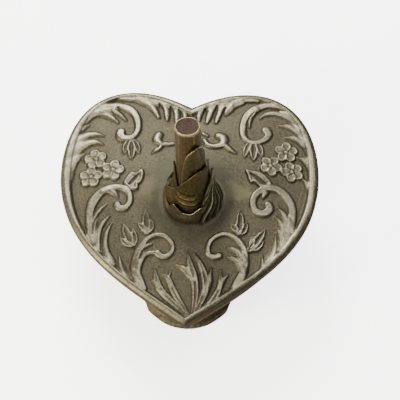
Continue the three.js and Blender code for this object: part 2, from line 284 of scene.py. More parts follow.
def metal(name, bright, ground, dark, stain, metallic, grain_scale=1500.0, edge=(255, 255, 255)):
    """A cast metal with its own colours in the shared tarnish and painted light. edge tints what it mirrors
    at a slant.
    """
    material = bpy.data.materials.new(name)
    material.use_nodes = True
    tree = material.node_tree
    shader = tree.nodes["Principled BSDF"]
    shader.inputs["Metallic"].default_value = metallic
    shader.inputs["Specular IOR Level"].default_value = 0.25
    shader.inputs["Specular Tint"].default_value = linear(*edge)
    relief = tree.nodes.new("ShaderNodeAttribute")
    relief.attribute_name = "relief"
    tarnish_and_light = tree.nodes.new("ShaderNodeGroup")
    tarnish_and_light.node_tree = TARNISH_AND_LIGHT
    for socket, value in (("Bright", bright), ("Ground", ground), ("Dark", dark), ("Stain", stain)):
        tarnish_and_light.inputs[socket].default_value = linear(*value)
    tarnish_and_light.inputs["Grain Scale"].default_value = grain_scale
    height = tree.nodes.new("ShaderNodeBump")
    height.inputs["Strength"].default_value = 0.25
    height.inputs["Distance"].default_value = 0.00006
    tree.links.new(relief.outputs["Fac"], tarnish_and_light.inputs["Relief"])
    tree.links.new(tarnish_and_light.outputs["Color"], shader.inputs["Base Color"])
    tree.links.new(tarnish_and_light.outputs["Roughness"], shader.inputs["Roughness"])
    tree.links.new(tarnish_and_light.outputs["Height"], height.inputs["Height"])
    tree.links.new(height.outputs["Normal"], shader.inputs["Normal"])
    return material


SIDE_SILVER = metal("worn_and_shaded_side_silver", (120, 110, 80), (84, 77, 55), (44, 39, 25), (78, 60, 36), 0.85,
                    edge=(150, 132, 96))


def place(piece, material, body, slot, *nodes):
    piece.data.materials.append(material)
    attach(piece, body)
    if nodes:
        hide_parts(*nodes)
    return piece


wall_bottom, wall_top = (corner.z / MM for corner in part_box("body_wall"))
WALL = 1.8
LEDGE_Z, LEDGE_INSET = 7.4, 10.4
WALL_OUTSIDE = [(wall_bottom, 7.6), (9.0, 6.4), (12.0, 4.9), (16.0, 3.6), (20.0, 2.9), (25.0, 2.2),
                (wall_top, 2.0)]  # height, inset from the lid's outline
BEADS = ((10.3, 0.55, 0.3), (26.4, 0.7, 0.18), (12.1, 0.28, 0.16))  # height, half width, stand-out


def along_wall(height):
    heights, insets = zip(*WALL_OUTSIDE)
    corner = np.interp(height, heights, insets)
    softer = np.mean([np.interp(np.clip(height + k, heights[0], heights[-1]), heights, insets)
                      for k in np.linspace(-2.2, 2.2, 9)], axis=0)
    return 0.4 * corner + 0.6 * softer


def wall_outside(height):
    out = along_wall(height)
    for middle, half, stand in BEADS:
        out = out - stand * np.sqrt(np.clip(1 - ((height - middle) / half) ** 2, 0, None))
    return out


heights = np.unique(np.concatenate([np.linspace(wall_bottom, wall_top, 50)]
                                   + [np.linspace(m - h, m + h, 9) for m, h, s in BEADS]))
outside = [(h, float(wall_outside(h))) for h in heights]
inside = [(h, float(along_wall(h)) + WALL) for h in np.linspace(wall_top, 9.0, 12)]
ledge = [(LEDGE_Z, 8.2), (LEDGE_Z, LEDGE_INSET), (wall_bottom, LEDGE_INSET)]
wall_stations = even_stations(560, 2.0, BLUNT)
rows = heart_rows(outside + inside + ledge, wall_stations, BLUNT)
tone = []
for (height, inset), row in zip(outside + inside + ledge, rows):
    proud = 0.0
    for middle, half, stand in BEADS:
        away = abs(height - middle) / half
        proud += 0.5 * math.exp(-(away**2)) - 0.55 * math.exp(-((away - 1.5) ** 2))
    # The wall is painted darker towards its top, as painted shade under the lid's overhang.
    tone.append(np.full(len(row), proud - 0.25 * ease(25.5, 28.8, height)))
body_wall = metal_skin("body_wall_cast", rows, looped=True, tone=tone)
place(body_wall, SIDE_SILVER, "box", "silver_plate", "body_wall")

# ---- Base plate ---------------------------------------------------------------------------------
# A flat plate of the same metal that drops on the wall's ledge and is soldered there. Only its
# underside shows, so the plain plate keeps its shape and gets the metal's dull, unrubbed finish.

UNDER_SILVER = metal("dull_base_silver", (104, 96, 76), (76, 68, 50), (34, 28, 18), (52, 44, 28), 0.7)


def finish_as_built(node, material):
    part = bpy.data.objects[node]
    part.data.materials.clear()
    part.data.materials.append(material)


finish_as_built("base_plate", UNDER_SILVER)

# ---- Feet ---------------------------------------------------------------------------------------
# Three cast bracket feet are soldered under the wall: one wraps the heart's point and two stand
# under the lobes. Each has scrolls and flutes in low relief, hollowed under its top edge.

def stain_and_light_group():
    """A round patch about an upright line, for stains and for painted shade and highlight: 1 within the inner
    radius and 0 beyond the outer one.
    """
    number = "NodeSocketFloat"
    group, given, out = new_group(
        "stain_and_light",
        [("Middle", "NodeSocketVector", (0, 0, 0)), ("Inner", number, 0.01), ("Outer", number, 0.02)],
        [("Mask", number)],
    )
    spot = group.nodes.new("ShaderNodeTexCoord").outputs["Object"]
    away = group.nodes.new("ShaderNodeVectorMath")
    away.operation = "SUBTRACT"
    group.links.new(spot, away.inputs[0])
    group.links.new(given.outputs["Middle"], away.inputs[1])
    flat = group.nodes.new("ShaderNodeVectorMath")
    flat.operation = "MULTIPLY"
    flat.inputs[1].default_value = (1, 1, 0)
    group.links.new(away.outputs[0], flat.inputs[0])
    far = group.nodes.new("ShaderNodeVectorMath")
    far.operation = "LENGTH"
    group.links.new(flat.outputs[0], far.inputs[0])
    cloud = noise_node(group, 260.0, 5, 0.65)
    ragged = math_node(group, "MULTIPLY", math_node(group, "SUBTRACT", cloud, 0.5), 0.012)
    range_node = group.nodes.new("ShaderNodeMapRange")
    range_node.interpolation_type = "SMOOTHSTEP"
    range_node.inputs["To Min"].default_value = 1.0
    range_node.inputs["To Max"].default_value = 0.0
    group.links.new(math_node(group, "ADD", far.outputs["Value"], ragged), range_node.inputs["Value"])
    group.links.new(given.outputs["Inner"], range_node.inputs["From Min"])
    group.links.new(given.outputs["Outer"], range_node.inputs["From Max"])
    group.links.new(range_node.outputs[0], out.inputs["Mask"])
    return group


STAIN_AND_LIGHT = stain_and_light_group()


def add_stain_and_light(material, middle, inner, outer, colour, most):
    """Tints a metal in a round patch about middle, for a stain and for painted shade and highlight; inner and
    outer radius are in mm.
    """
    tree = material.node_tree
    shader = tree.nodes["Principled BSDF"]
    stain_and_light = tree.nodes.new("ShaderNodeGroup")
    stain_and_light.node_tree = STAIN_AND_LIGHT
    stain_and_light.inputs["Middle"].default_value = (middle[0] * MM, middle[1] * MM, 0)
    stain_and_light.inputs["Inner"].default_value = inner * MM
    stain_and_light.inputs["Outer"].default_value = outer * MM
    under = shader.inputs["Base Color"].links[0].from_socket
    share = math_node(tree, "MULTIPLY", stain_and_light.outputs["Mask"], most)
    tree.links.new(mix_colour(tree, share, under, linear(*colour)), shader.inputs["Base Color"])


foot_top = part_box("front_foot")[1].z / MM
FOOT_INNER = 11.2
FOOT_OUTSIDE = [(0.0, 7.9), (0.35, 7.62), (0.6, 7.6), (1.1, 7.75), (1.6, 8.2), (2.2, 8.75), (2.8, 9.0),
                (3.6, 8.95), (4.4, 8.6), (5.0, 8.05), (5.4, 7.5), (foot_top, 7.3)]


def foot_relief(run, half_length, height):
    """How far the foot's face stands out: flutes in the middle and a scroll at each end."""
    share = np.abs(run) / half_length
    up = height / foot_top
    flutes = 0.06 * np.cos(run * 2 * math.pi / 2.3) * (1 - ease(0.3, 0.45, share))
    centre_run, centre_up = 0.68, 0.52
    across = (share - centre_run) * half_length
    rise = (up - centre_up) * foot_top
    spiral = np.hypot(across, rise)
    turn = np.arctan2(rise, across)
    scroll = 0.24 * np.cos(spiral * 2.4 + turn) * (1 - ease(1.6, 3.4, spiral))
    fan = 0.12 * np.cos((share - 0.86) * half_length * 3.0 + rise * 0.8) * ease(0.82, 0.9, share)
    return (flutes + scroll + fan) * ease(0.02, 0.16, up) * (1 - ease(0.86, 0.98, up))


def bracket_foot(name, node, start, end, count, point_radius=BLUNT, further=0.0, belly=0.0):
    """A foot between two stations. belly swells its flanks and rounds off its ends."""
    stations = even_stations(count, 8.0, point_radius, start, end)
    line = heart(stations, 8.0, point_radius)
    run = np.concatenate([[0], np.cumsum(np.linalg.norm(np.diff(line, axis=0), axis=1))])
    half = run[-1] / 2
    run = run - half
    share = np.abs(run) / half
    swell = belly * (0.6 + np.exp(-(((share - 0.6) / 0.28) ** 2)) - 3.0 * ease(0.8, 1.0, share) ** 2)
    fine = [(h, float(np.interp(h, *zip(*FOOT_OUTSIDE)))) for h in np.linspace(0, foot_top, 46)]
    section = fine + [(foot_top, FOOT_INNER - 0.3), (foot_top - 0.3, FOOT_INNER), (0.3, FOOT_INNER),
                      (0.0, FOOT_INNER - 0.3)]
    rows, tone = [], []
    for number, (height, inset) in enumerate(section):
        stand = foot_relief(run, half, height) if number < len(fine) else np.zeros(count)
        flat = heart(stations, inset - further, point_radius)
        away = heart(stations, inset - further - 1.0, point_radius) - flat
        flat = flat + away * (stand + swell if number < len(fine) else stand)[:, None]
        rows.append(np.column_stack([flat, np.full(count, height)]))
        tone.append(stand * 1.3 - 0.12)
    foot = metal_skin(name, rows, closed=False, looped=True, tone=tone, ends=True)
    return place(foot, FOOT_SILVER, "box", "silver_plate", node)


FOOT_SILVER = metal("worn_foot_silver", (120, 113, 88), (82, 77, 60), (44, 40, 28), (74, 64, 46), 0.8,
                    edge=(150, 132, 96))
add_stain_and_light(FOOT_SILVER, (-14.0, -27.0), 0.5, 5.0, (84, 66, 48), 0.7)
FRONT_FOOT_ROUND, FRONT_FOOT_FURTHER, FRONT_FOOT_END = 14.0, 1.1, 1.19
bracket_foot("front_foot_cast", "front_foot", -FRONT_FOOT_END, FRONT_FOOT_END, 300, FRONT_FOOT_ROUND,
             FRONT_FOOT_FURTHER, 0.6)
for side, start, end in (("right", 2.35, 2.9), ("left", -2.9, -2.35)):
    bracket_foot(f"rear_{side}_foot_cast", f"rear_{side}_foot", start, end, 130)

# ---- Velvet pad and wall lining -----------------------------------------------------------------
# A thin wadded pad covered in wine red velvet lies on the base plate, and a strip of the same
# velvet on card is glued round the inside of the wall.


def velvet_material():
    material = bpy.data.materials.new("wine_velvet")
    material.use_nodes = True
    tree = material.node_tree
    shader = tree.nodes["Principled BSDF"]
    shader.inputs["Roughness"].default_value = 0.95
    shader.inputs["Sheen Weight"].default_value = 0.25
    shader.inputs["Sheen Roughness"].default_value = 0.35
    shader.inputs["Sheen Tint"].default_value = linear(190, 80, 95)
    brushed = noise_node(tree, 90.0, 3)
    pile = noise_node(tree, 5200.0, 2, 0.8)
    laid_flat = ranged(tree, brushed, 0.35, 0.65, 0.0, 1.0)
    colour = mix_colour(tree, laid_flat, linear(56, 8, 17), linear(82, 16, 28))
    colour = mix_colour(tree, 1.0, colour, ranged(tree, pile, 0.3, 0.7, 0.75, 1.2), "MULTIPLY")
    height = tree.nodes.new("ShaderNodeBump")
    height.inputs["Strength"].default_value = 0.5
    height.inputs["Distance"].default_value = 0.0002
    tree.links.new(pile, height.inputs["Height"])
    tree.links.new(colour, shader.inputs["Base Color"])
    tree.links.new(height.outputs["Normal"], shader.inputs["Normal"])
    return material


VELVET = velvet_material()


def heart_slab(name, inset, point_radius, bottom, top, count=220, roll=0.5, rings=10):
    """A flat heart with a rolled edge, made of rings that shrink to a small heart in the middle."""
    stations = even_stations(count, inset, point_radius)
    rows = []
    middle = np.array([0.0, 5.0])
    deep = heart(stations, inset + 3.0, point_radius)

    def ring(share, height):
        flat = deep + (middle - deep) * share
        return np.column_stack([flat, np.full(count, height)])

    quarter = np.linspace(0, math.pi / 2, 5)
    edge = [(bottom + roll * (1 - math.cos(a)), roll * (1 - math.sin(a))) for a in quarter]
    edge += [(top - roll * (1 - math.sin(a)), roll * (1 - math.cos(a))) for a in quarter]
    for share in np.linspace(0.98, 0, rings):
        rows.append(ring(share, bottom))
    for height, back in edge:
        flat = heart(stations, inset + back, point_radius)
        rows.append(np.column_stack([flat, np.full(count, height)]))
    for share in np.linspace(0, 0.98, rings):
        rows.append(ring(share, top))
    return metal_skin(name, rows, looped=False)


def close_holes(piece):
    """Fills the small open heart that the rings leave in the middle of each side."""
    bpy.context.view_layer.objects.active = piece
    made = bmesh.new()
    made.from_mesh(piece.data)
    bmesh.ops.holes_fill(made, edges=[e for e in made.edges if e.is_boundary], sides=0)
    bmesh.ops.triangulate(made, faces=[f for f in made.faces if len(f.verts) > 4])
    made.to_mesh(piece.data)
    made.free()


pad_low, pad_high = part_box("floor_pad")
pad = heart_slab("velvet_floor_pad", 8.8, BLUNT, pad_low.z / MM + 0.15, pad_high.z / MM - 0.8, 260, 0.5, 16)
close_holes(pad)
wadding = pad.modifiers.new("wadding", "CLOTH")
wadding.settings.use_pressure = True
wadding.settings.uniform_pressure_force = 4.0
wadding.settings.effector_weights.gravity = 0.0
wadding.settings.mass = 0.1
start = np.empty(len(pad.data.vertices) * 3)
pad.data.vertices.foreach_get("co", start)
for step in range(1, 21):
    bpy.context.scene.frame_set(step)
graph = bpy.context.evaluated_depsgraph_get()
swollen = np.empty(len(start))
pad.evaluated_get(graph).data.vertices.foreach_get("co", swollen)
pad.modifiers.clear()
bpy.context.scene.frame_set(1)
start, swollen = start.reshape(-1, 3), swollen.reshape(-1, 3)
move = np.clip(swollen - start, -0.6 * MM, 0.6 * MM)
made = start + move
made[:, 2] = np.clip(made[:, 2], pad_low.z, pad_high.z)
pad.data.vertices.foreach_set("co", made.ravel())
pad.data.update()
place(pad, VELVET, "box", "velvet", "floor_pad")

LINING = 0.9
lining_low, lining_high = (corner.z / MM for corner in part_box("wall_lining"))
lining_heights = np.linspace(lining_low, lining_high, 14)
lining_out = [(h, float(along_wall(h)) + WALL + 0.3) for h in lining_heights]
lining_in = [(h, i + LINING) for h, i in reversed(lining_out)]
lining_in[0] = (lining_in[0][0] - 0.25, lining_in[0][1])
lining = metal_skin("velvet_wall_lining",
                    heart_rows(lining_out + lining_in, even_stations(360, 4.5, BLUNT), BLUNT), looped=True)
place(lining, VELVET, "box", "velvet", "wall_lining")

# ---- Lid ----------------------------------------------------------------------------------------
# The lid is one casting in silver-plated white metal: a rolled rim, a sunk ground that rises to a
# low dome under the post, and a relief of scrolls, leaves, flowers and pendants chased on top.
# The relief is worked out as a height over the flat heart, stroke by stroke.

PITCH = 0.15
REACH = LID_WIDTH / 2 + 1
rule = np.arange(-REACH, REACH + PITCH / 2, PITCH)
ACROSS, UP = np.meshgrid(rule, rule)
relief = np.zeros(ACROSS.shape)
PATTERN_TURN = math.radians(1.38)  # the pattern sits a little turned and off the lid's middle
PATTERN_MIDDLE = np.array([0.41, 0.39])
STROKE_GAIN, STROKE_EDGE = 1.27, 0.08  # the chaser's tool leaves a stroke this much fatter


def on_lid(path):
    """The pattern's points as places on the lid."""
    x, y = np.array(path, float).T
    sin, cos = math.sin(PATTERN_TURN), math.cos(PATTERN_TURN)
    return np.column_stack([x * cos - y * sin, x * sin + y * cos]) + PATTERN_MIDDLE


def melted(a, b):
    """The higher of two heights, with the crease filled where both stand up."""
    soft = 0.7 * np.maximum(np.minimum(a, b), 1e-6)
    return np.maximum(a, b) + np.clip(soft - np.abs(a - b), 0, None) ** 2 / (4 * soft)


def spline(points, step=0.12):
    """A smooth line through the points, and how far along it each place is, from 0 to 1."""
    points = np.array(points, float)
    padded = np.vstack([2 * points[0] - points[1], points, 2 * points[-1] - points[-2]])
    line = []
    for a, b, c, d in zip(padded, padded[1:], padded[2:], padded[3:]):
        count = max(2, int(np.linalg.norm(c - b) / step))
        t = (np.arange(count) / count)[:, None]
        line.append(0.5 * (2 * b + (c - a) * t + (2 * a - 5 * b + 4 * c - d) * t**2
                           + (3 * b - a - 3 * c + d) * t**3))
    line = np.vstack(line + [points[-1:]])
    run = np.concatenate([[0], np.cumsum(np.linalg.norm(np.diff(line, axis=0), axis=1))])
    return line, run / run[-1]


# Cross-sections of a stroke, from its middle at 0 to its edge at 1.
def bead(s):
    return np.sqrt(np.clip(1 - s**2, 0, None))


def strap(s):
    return np.clip(1 - s**3, 0, None) ** 0.55 * (0.86 + 0.14 * np.clip(s / 0.7, 0, 1) ** 2)


def petal(s):
    return np.clip(1 - s**3.5, 0, None) ** 0.5 * (0.82 + 0.18 * s**2)


def blade(s):
    return np.clip(1 - s, 0, None) ** 0.75


def veined(s):
    return np.sqrt(np.clip(1 - s**4, 0, None)) * (1 - 0.45 * np.exp(-((s / 0.3) ** 2)))


def cupped(s):
    return np.sqrt(np.clip(1 - s**4, 0, None)) * (1 - 0.8 * np.exp(-((s / 0.4) ** 2)))


def swept(path, widths):
    """The patch of the lid that a stroke covers, each place's share of the stroke's half width away
    from its line, and its share of the way along."""
    line, share = spline(on_lid(path))
    width = smooth_table(widths, share)
    low, high = line.min(axis=0) - width.max(), line.max(axis=0) + width.max()
    cols = slice(*np.searchsorted(rule, (low[0], high[0])))
    rows = slice(*np.searchsorted(rule, (low[1], high[1])))
    x, y = ACROSS[rows, cols], UP[rows, cols]
    away = np.full(x.shape, np.inf)
    along = np.zeros(x.shape)
    for point, half, t in zip(line, width, share):
        s = np.hypot(x - point[0], y - point[1]) / half
        closer = s < away
        away = np.where(closer, s, away)
        along = np.where(closer, t, along)
    return (rows, cols), away, along


def lay(path, widths, heights=0.9, section=bead):
    """Raises a stroke along the path, with half widths and heights spread evenly along it."""
    fat = [w * STROKE_GAIN + STROKE_EDGE for w in np.atleast_1d(widths)]
    patch, away, along = swept(path, fat)
    made = np.where(away < 1, section(np.minimum(away, 1)) * smooth_table(heights, along), 0)
    relief[patch] = melted(relief[patch], made)


def fill(path, height):
    """Raises all that lies inside the closed path."""
    line, share = spline(on_lid(list(path) + [path[0]]))
    low, high = line.min(axis=0), line.max(axis=0)
    cols = slice(*np.searchsorted(rule, (low[0], high[0])))
    rows = slice(*np.searchsorted(rule, (low[1], high[1])))
    x, y = ACROSS[rows, cols], UP[rows, cols]
    inside = np.zeros(x.shape, bool)
    for (x0, y0), (x1, y1) in zip(line[:-1], line[1:]):
        if y0 != y1:
            crosses = ((y0 <= y) != (y1 <= y)) & (x < x0 + (y - y0) / (y1 - y0) * (x1 - x0))
            inside ^= crosses
    relief[rows, cols] = np.maximum(relief[rows, cols], np.where(inside, height, 0))


def edged_leaf(path, edge=0.36, height=0.85, hollow=0.42):
    """A leaf with a raised edge and a sunk middle."""
    fill(path, hollow)
    lay(list(path) + [path[0]], edge, height, bead)


def carve(path, widths, depth=0.6):
    patch, away, along = swept(path, widths)
    cut = np.where(away < 1, bead(np.minimum(away, 1)) * depth, 0)
    relief[patch] = np.maximum(relief[patch] - cut, 0.05 * relief[patch])


def flower(x, y, turn, reach=2.7, width=1.6):
    """Five cupped petals with raised edges round a boss."""
    half = [(0.7, -0.45), (reach * 0.75, -width * 0.85), (reach + width * 0.35, -width * 0.72)]
    shape = half + [(reach + width * 0.72, 0)] + [(out, -side) for out, side in reversed(half)]
    for k in range(5):
        sin, cos = math.sin(math.radians(turn + 72 * k)), math.cos(math.radians(turn + 72 * k))
        outline = [(x + out * cos - side * sin, y + out * sin + side * cos) for out, side in shape]
        edged_leaf(outline, 0.3, 0.82, 0.64)
    middle = [(x - 0.05, y), (x + 0.05, y)]
    carve(middle, 1.2, 0.45)
    lay(middle, 0.66, 0.85, bead)


FULL = (1.0, 0.95, 0.85, 0.5)  # heights of a finger that thins out from a scroll or the rim
GRASS = (0.5, 0.75, 0.9, 0.85, 0.5)


def finger(path, widths):
    lay(path, [width * 1.2 for width in widths], FULL)


def sprig(*path):
    """A small leaf of a spray or pendant, sunk down its middle. Those of four points are broader."""
    broad = 1.35 if len(path) == 4 else 0.95
    lay(path, (0.6 * broad, 1.0 * broad, 0.8 * broad, 0.25), 0.85, cupped)


# Upper left scroll: the leaf's broad root on the rim, the curling strap, and the leaf's fingers.
lay([(-42.5, 30.5), (-38.8, 35.2), (-34.5, 38), (-30.4, 38.2)], (2.2, 2.8, 2.5, 1.6), 0.95, petal)
lay([(-35, 38), (-30.5, 38.7), (-26, 39.1), (-22, 37.6), (-19.6, 34.2), (-18.8, 30), (-19.4, 26.8),
    (-21.2, 25), (-23.6, 24.9), (-25.1, 26.4), (-24.9, 27.6)],
    (2.0, 1.6, 1.25, 1.2, 1.15, 1.1, 0.95, 0.85, 1.05, 1.25), 1.0, strap)
finger([(-32, 37.6), (-28.6, 37.2), (-25.6, 35), (-23.4, 32.9)], (1.3, 1.0, 0.8, 0.4))
finger([(-41, 31.8), (-38, 35), (-34.5, 36.4), (-31.2, 35.8), (-28.2, 33.8), (-26.3, 31.9)],
    (1.6, 1.5, 1.3, 1.1, 0.8, 0.4))
carve([(-26.4, 38.5), (-24.2, 36.6), (-22.3, 33.8)], (0.3, 0.6, 0.45), 0.9)
carve([(-28.6, 36.5), (-26.7, 34.9), (-24.7, 32.7)], (0.25, 0.55, 0.5), 0.9)
lay([(-25.6, 25.6), (-24.6, 23.7)], (0.9, 0.5), (0.95, 0.7))

# Fingers that grow from the left rim.
finger([(-44, 24), (-41.8, 27.2), (-39, 29.8), (-36.6, 31.1)], (2.2, 1.5, 0.9, 0.3))
finger([(-43.6, 19.5), (-41, 24), (-37.5, 26.5), (-34, 27), (-31.2, 26.2)], (2.2, 1.7, 1.2, 0.8, 0.3))
finger([(-43.2, 15.5), (-40.8, 20.4), (-37.5, 22.9), (-34, 23.6), (-31.2, 22.5)],
    (2.2, 1.8, 1.4, 0.95, 0.3))
finger([(-44, 9.5), (-42.5, 14), (-40.3, 17), (-37.6, 18.9)], (2.0, 1.6, 1.1, 0.3))

# Left pendant of three petals, and the comb of fingers left of the cleft.
sprig((-22, 23.5), (-23, 21), (-23.4, 18.4))
sprig((-20, 23.4), (-18.9, 21), (-18.2, 18.4))
sprig((-21, 22.6), (-20.9, 20.4), (-20.8, 18.2), (-20.7, 16))
COMB = (1.0, 1.0, 1.0, 0.95, 0.75)
lay([(-26, 42.3), (-21, 42.6), (-16.5, 42.1), (-11, 41.4), (-6.5, 40), (-2.5, 38)],
    (0.3, 1.0, 1.9, 2.1, 2.0, 1.5), 0.98, petal)
lay([(-19, 42.6), (-16, 41), (-13.6, 38.4), (-12.2, 35.6), (-11.6, 34.2)], (1.4, 1.7, 1.2, 0.95, 0.6), COMB)
lay([(-12.5, 41.6), (-10, 39.6), (-8.8, 37), (-8.5, 34.6), (-8.4, 33.2)], (1.8, 1.5, 1.2, 1.0, 0.6), COMB)
lay([(-8, 40.6), (-5.9, 38.8), (-5, 36.4), (-4.9, 34), (-5, 32.2)], (1.8, 1.4, 1.1, 0.9, 0.6), COMB)
lay([(-4.5, 39), (-2.8, 37.6), (-2, 35.4), (-1.8, 33)], (1.6, 1.2, 0.9, 0.6), COMB)
carve([(-11.3, 40), (-10.7, 38.2), (-10.3, 35.8), (-10.2, 33.6)], (0.35, 0.75, 0.75, 0.5), 1.0)
carve([(-7.2, 38.8), (-6.8, 36.8), (-6.8, 34.6), (-6.8, 32.6)], (0.3, 0.55, 0.6, 0.5), 1.0)
carve([(-4.1, 37.6), (-3.5, 36), (-3.3, 33.4)], (0.25, 0.4, 0.4), 0.9)

# Upper right scroll.
lay([(42, 30), (38.5, 35), (35, 37.8), (31, 39.6)], (1.8, 2.4, 2.2, 1.0), 1.0, petal)
lay([(36.5, 36.6), (32, 39), (27.5, 39.1), (23.8, 37.6), (21, 35.2), (19.4, 31.8), (18.8, 28), (19.2, 25),
    (21.2, 23), (24, 22.9), (26.6, 24.2), (28, 26.3), (27.3, 28.2)],
    (2.0, 1.2, 0.9, 1.3, 1.5, 1.3, 1.1, 1.05, 0.9, 0.75, 0.75, 0.95, 1.35), 1.0, strap)
finger([(24.2, 37.6), (22.2, 35.2), (21.3, 32.6), (21.3, 29.6)], (0.9, 0.85, 0.65, 0.3))
carve([(23.4, 36.4), (21.4, 33.6), (20.4, 30.4)], (0.2, 0.3, 0.35), 0.5)
finger([(41.5, 29.5), (38.5, 33), (34.5, 35.2), (30.5, 36.1), (27.4, 35.5), (25.2, 33.8)],
    (2.4, 1.9, 1.3, 0.9, 0.65, 0.35))
carve([(34.5, 37), (31.5, 37.8), (28, 37.7), (24.4, 35.8)], (0.2, 0.4, 0.7, 0.6), 1.0)

# Fingers that grow from the right rim.
finger([(44, 22), (41.4, 26.6), (38, 29.4), (35, 30.5), (32.3, 30.5)], (2.4, 2.1, 1.5, 1.05, 0.4))
finger([(44.4, 16.5), (42.8, 21.4), (40, 24.2), (37, 25.5), (34.2, 25.5)], (2.2, 1.9, 1.5, 1.05, 0.4))
finger([(44.4, 9.5), (43.1, 13.6), (41, 16.1), (38.4, 17.3)], (1.9, 1.6, 1.2, 0.4))
finger([(43, -4), (42.8, 1.5), (41.7, 5.8), (39.2, 9.2)], (1.4, 1.3, 1.1, 0.3))

# Right pendant, and the comb right of the cleft.
sprig((20.8, 22), (19.9, 19.5), (19.1, 16.6))
sprig((24.2, 22), (24.9, 19.6), (25.4, 16.7))
sprig((22.5, 21.6), (22.6, 19.6), (22.5, 17.6), (22.4, 15.4))
lay([(25, 41.4), (20.5, 42), (16, 41.8), (11, 41.2), (7, 40), (3, 38)], (0.3, 0.9, 1.6, 2.0, 2.1, 1.5),
    0.98, petal)
finger([(18.5, 41.4), (16, 40), (14.6, 37.9), (13.5, 35.6)], (1.2, 1.2, 0.9, 0.4))
finger([(14.8, 39.4), (13.3, 37.4), (12.6, 34.9)], (1.0, 0.7, 0.3))
lay([(13, 40.4), (11.6, 38.4), (10.6, 35.6), (9.7, 33.2), (9.2, 31.8)], (1.6, 1.4, 1.15, 0.95, 0.55), COMB)
lay([(9.6, 40.4), (8, 38.2), (7.1, 35.6), (6.3, 33.2), (5.9, 31.9)], (1.6, 1.4, 1.15, 0.95, 0.6), COMB)
lay([(5.6, 39.4), (4, 37.6), (3.2, 35.2), (2.9, 33)], (1.6, 1.2, 0.9, 0.6), COMB)
carve([(12.8, 38.4), (12, 36.4), (11, 33.2)], (0.25, 0.4, 0.45), 0.9)
carve([(9.8, 39.2), (9, 36.6), (7.8, 32.4)], (0.3, 0.5, 0.55), 1.0)
carve([(6.4, 39.2), (5.2, 36.6), (4.6, 31.6)], (0.3, 0.6, 0.7), 1.0)

# Two bunches of three flowers, each with a leaf.
flower(-33.5, 16.2, 100)
flower(-27.2, 11.5, 75)
flower(-34.9, 9.1, 15)
flower(34.2, 19.2, 88, 2.8, 1.65)
flower(28.5, 13.2, 60)
flower(36, 11.2, 40)
edged_leaf([(-21.6, 4.9), (-22.6, 6.2), (-21.8, 8), (-20.3, 9.9), (-18.9, 9.2), (-17, 10.9), (-16.8, 8.2),
    (-17.5, 6.4), (-18.6, 5.6), (-18.5, 3.9), (-20.2, 3.7)], 0.5, 1.0, 0.7)
carve([(-21.2, 5.4), (-19.6, 7.4), (-17.9, 9.6)], (0.35, 0.55, 0.3), 0.6)
edged_leaf([(19.9, 10.8), (20.7, 8.6), (21.2, 6.7), (22.6, 6.9), (24.6, 5), (27.9, 5.6), (26.6, 8),
    (24.4, 9.8)], 0.5, 0.95, 0.65)
carve([(21.2, 10), (23.6, 8), (26.2, 5.8)], (0.3, 0.55, 0.4), 0.6)

# Middle left scroll, its long leaves on the rim, and two sprays.
lay([(-33.6, -14), (-34.6, -8.5), (-34.3, -3), (-32.6, 1), (-29.6, 3.7), (-26, 4.6), (-22.8, 3.8),
    (-21, 1.6), (-20.8, -1.2), (-22.2, -3.5), (-24.3, -3.6), (-25.1, -2.2)],
    (1.4, 0.9, 1.0, 1.25, 1.45, 1.3, 1.1, 0.95, 0.9, 0.85, 0.9, 1.0), 1.0, strap)
finger([(-30.5, 2.9), (-28.2, 3.4), (-26.4, 2.4), (-25, 0.8)], (0.7, 0.8, 0.7, 0.35))
finger([(-33, -15.5), (-33, -9), (-31.4, -4.4), (-28.8, -1.7)], (1.0, 0.75, 0.6, 0.3))
finger([(-31, -19), (-31.3, -14), (-30.4, -9.8), (-27.6, -6.2)], (1.1, 0.8, 0.65, 0.3))
finger([(-26.4, -23.8), (-28.6, -18), (-28.5, -13), (-26.9, -9.2)], (1.2, 0.85, 0.65, 0.3))
carve([(-33.2, -13), (-32.9, -9), (-31.2, -5.4)], (0.3, 0.4, 0.4), 0.5)
carve([(-29.8, -19), (-29.9, -14), (-28.9, -10)], (0.3, 0.4, 0.4), 0.5)
lay([(-20.2, -30), (-22.8, -25.6), (-23.9, -20.7)], (1.8, 1.15, 0.3), FULL, blade)
sprig((-19.7, -17.4), (-20.8, -14.5), (-22, -11.8), (-22.6, -10))
sprig((-19.9, -17.6), (-21.6, -16.6), (-23.4, -15))
sprig((-19, -17.4), (-18.7, -14.8), (-19.3, -12))
sprig((-14.4, -13), (-14.8, -10), (-15, -7.6), (-15.2, -5.2))
sprig((-15, -12.8), (-16, -11.2), (-17.4, -9.8))
sprig((-13.8, -12.8), (-13.1, -11), (-13.2, -9))

# Middle right scroll, its leaves on the rim, and two sprays.
lay([(31.5, -19), (33.9, -13.5), (35, -8), (35.2, -3), (33.6, 1), (30.8, 3.7), (27.6, 4.3), (24.4, 3),
    (22.2, 0.4), (21.7, -2.8), (23.2, -5.2), (25.8, -5.5), (27.4, -3.9), (27, -2.3)],
    (1.6, 1.6, 1.3, 1.15, 1.15, 1.25, 1.3, 1.25, 1.1, 1.0, 0.95, 1.0, 1.15, 1.15), 1.0, strap)
finger([(34.4, -11), (32.8, -6.4), (30.4, -3.1)], (1.5, 1.0, 0.3))
finger([(33.4, -15), (31.8, -9.8), (29.4, -6.7)], (1.7, 1.1, 0.3))
finger([(32.2, -17.5), (31.1, -13.4), (29.8, -10.6)], (1.6, 0.9, 0.3))
lay([(26.4, -24.8), (28.9, -19), (29.3, -12.4)], (2.2, 1.4, 0.3), FULL, blade)
lay([(22.2, -28.8), (24.4, -25.2), (24.4, -20.9)], (1.6, 1.0, 0.3), FULL, blade)
lay([(25.2, 0.5), (26.2, 2.4)], (0.5, 0.9), (0.8, 0.95))
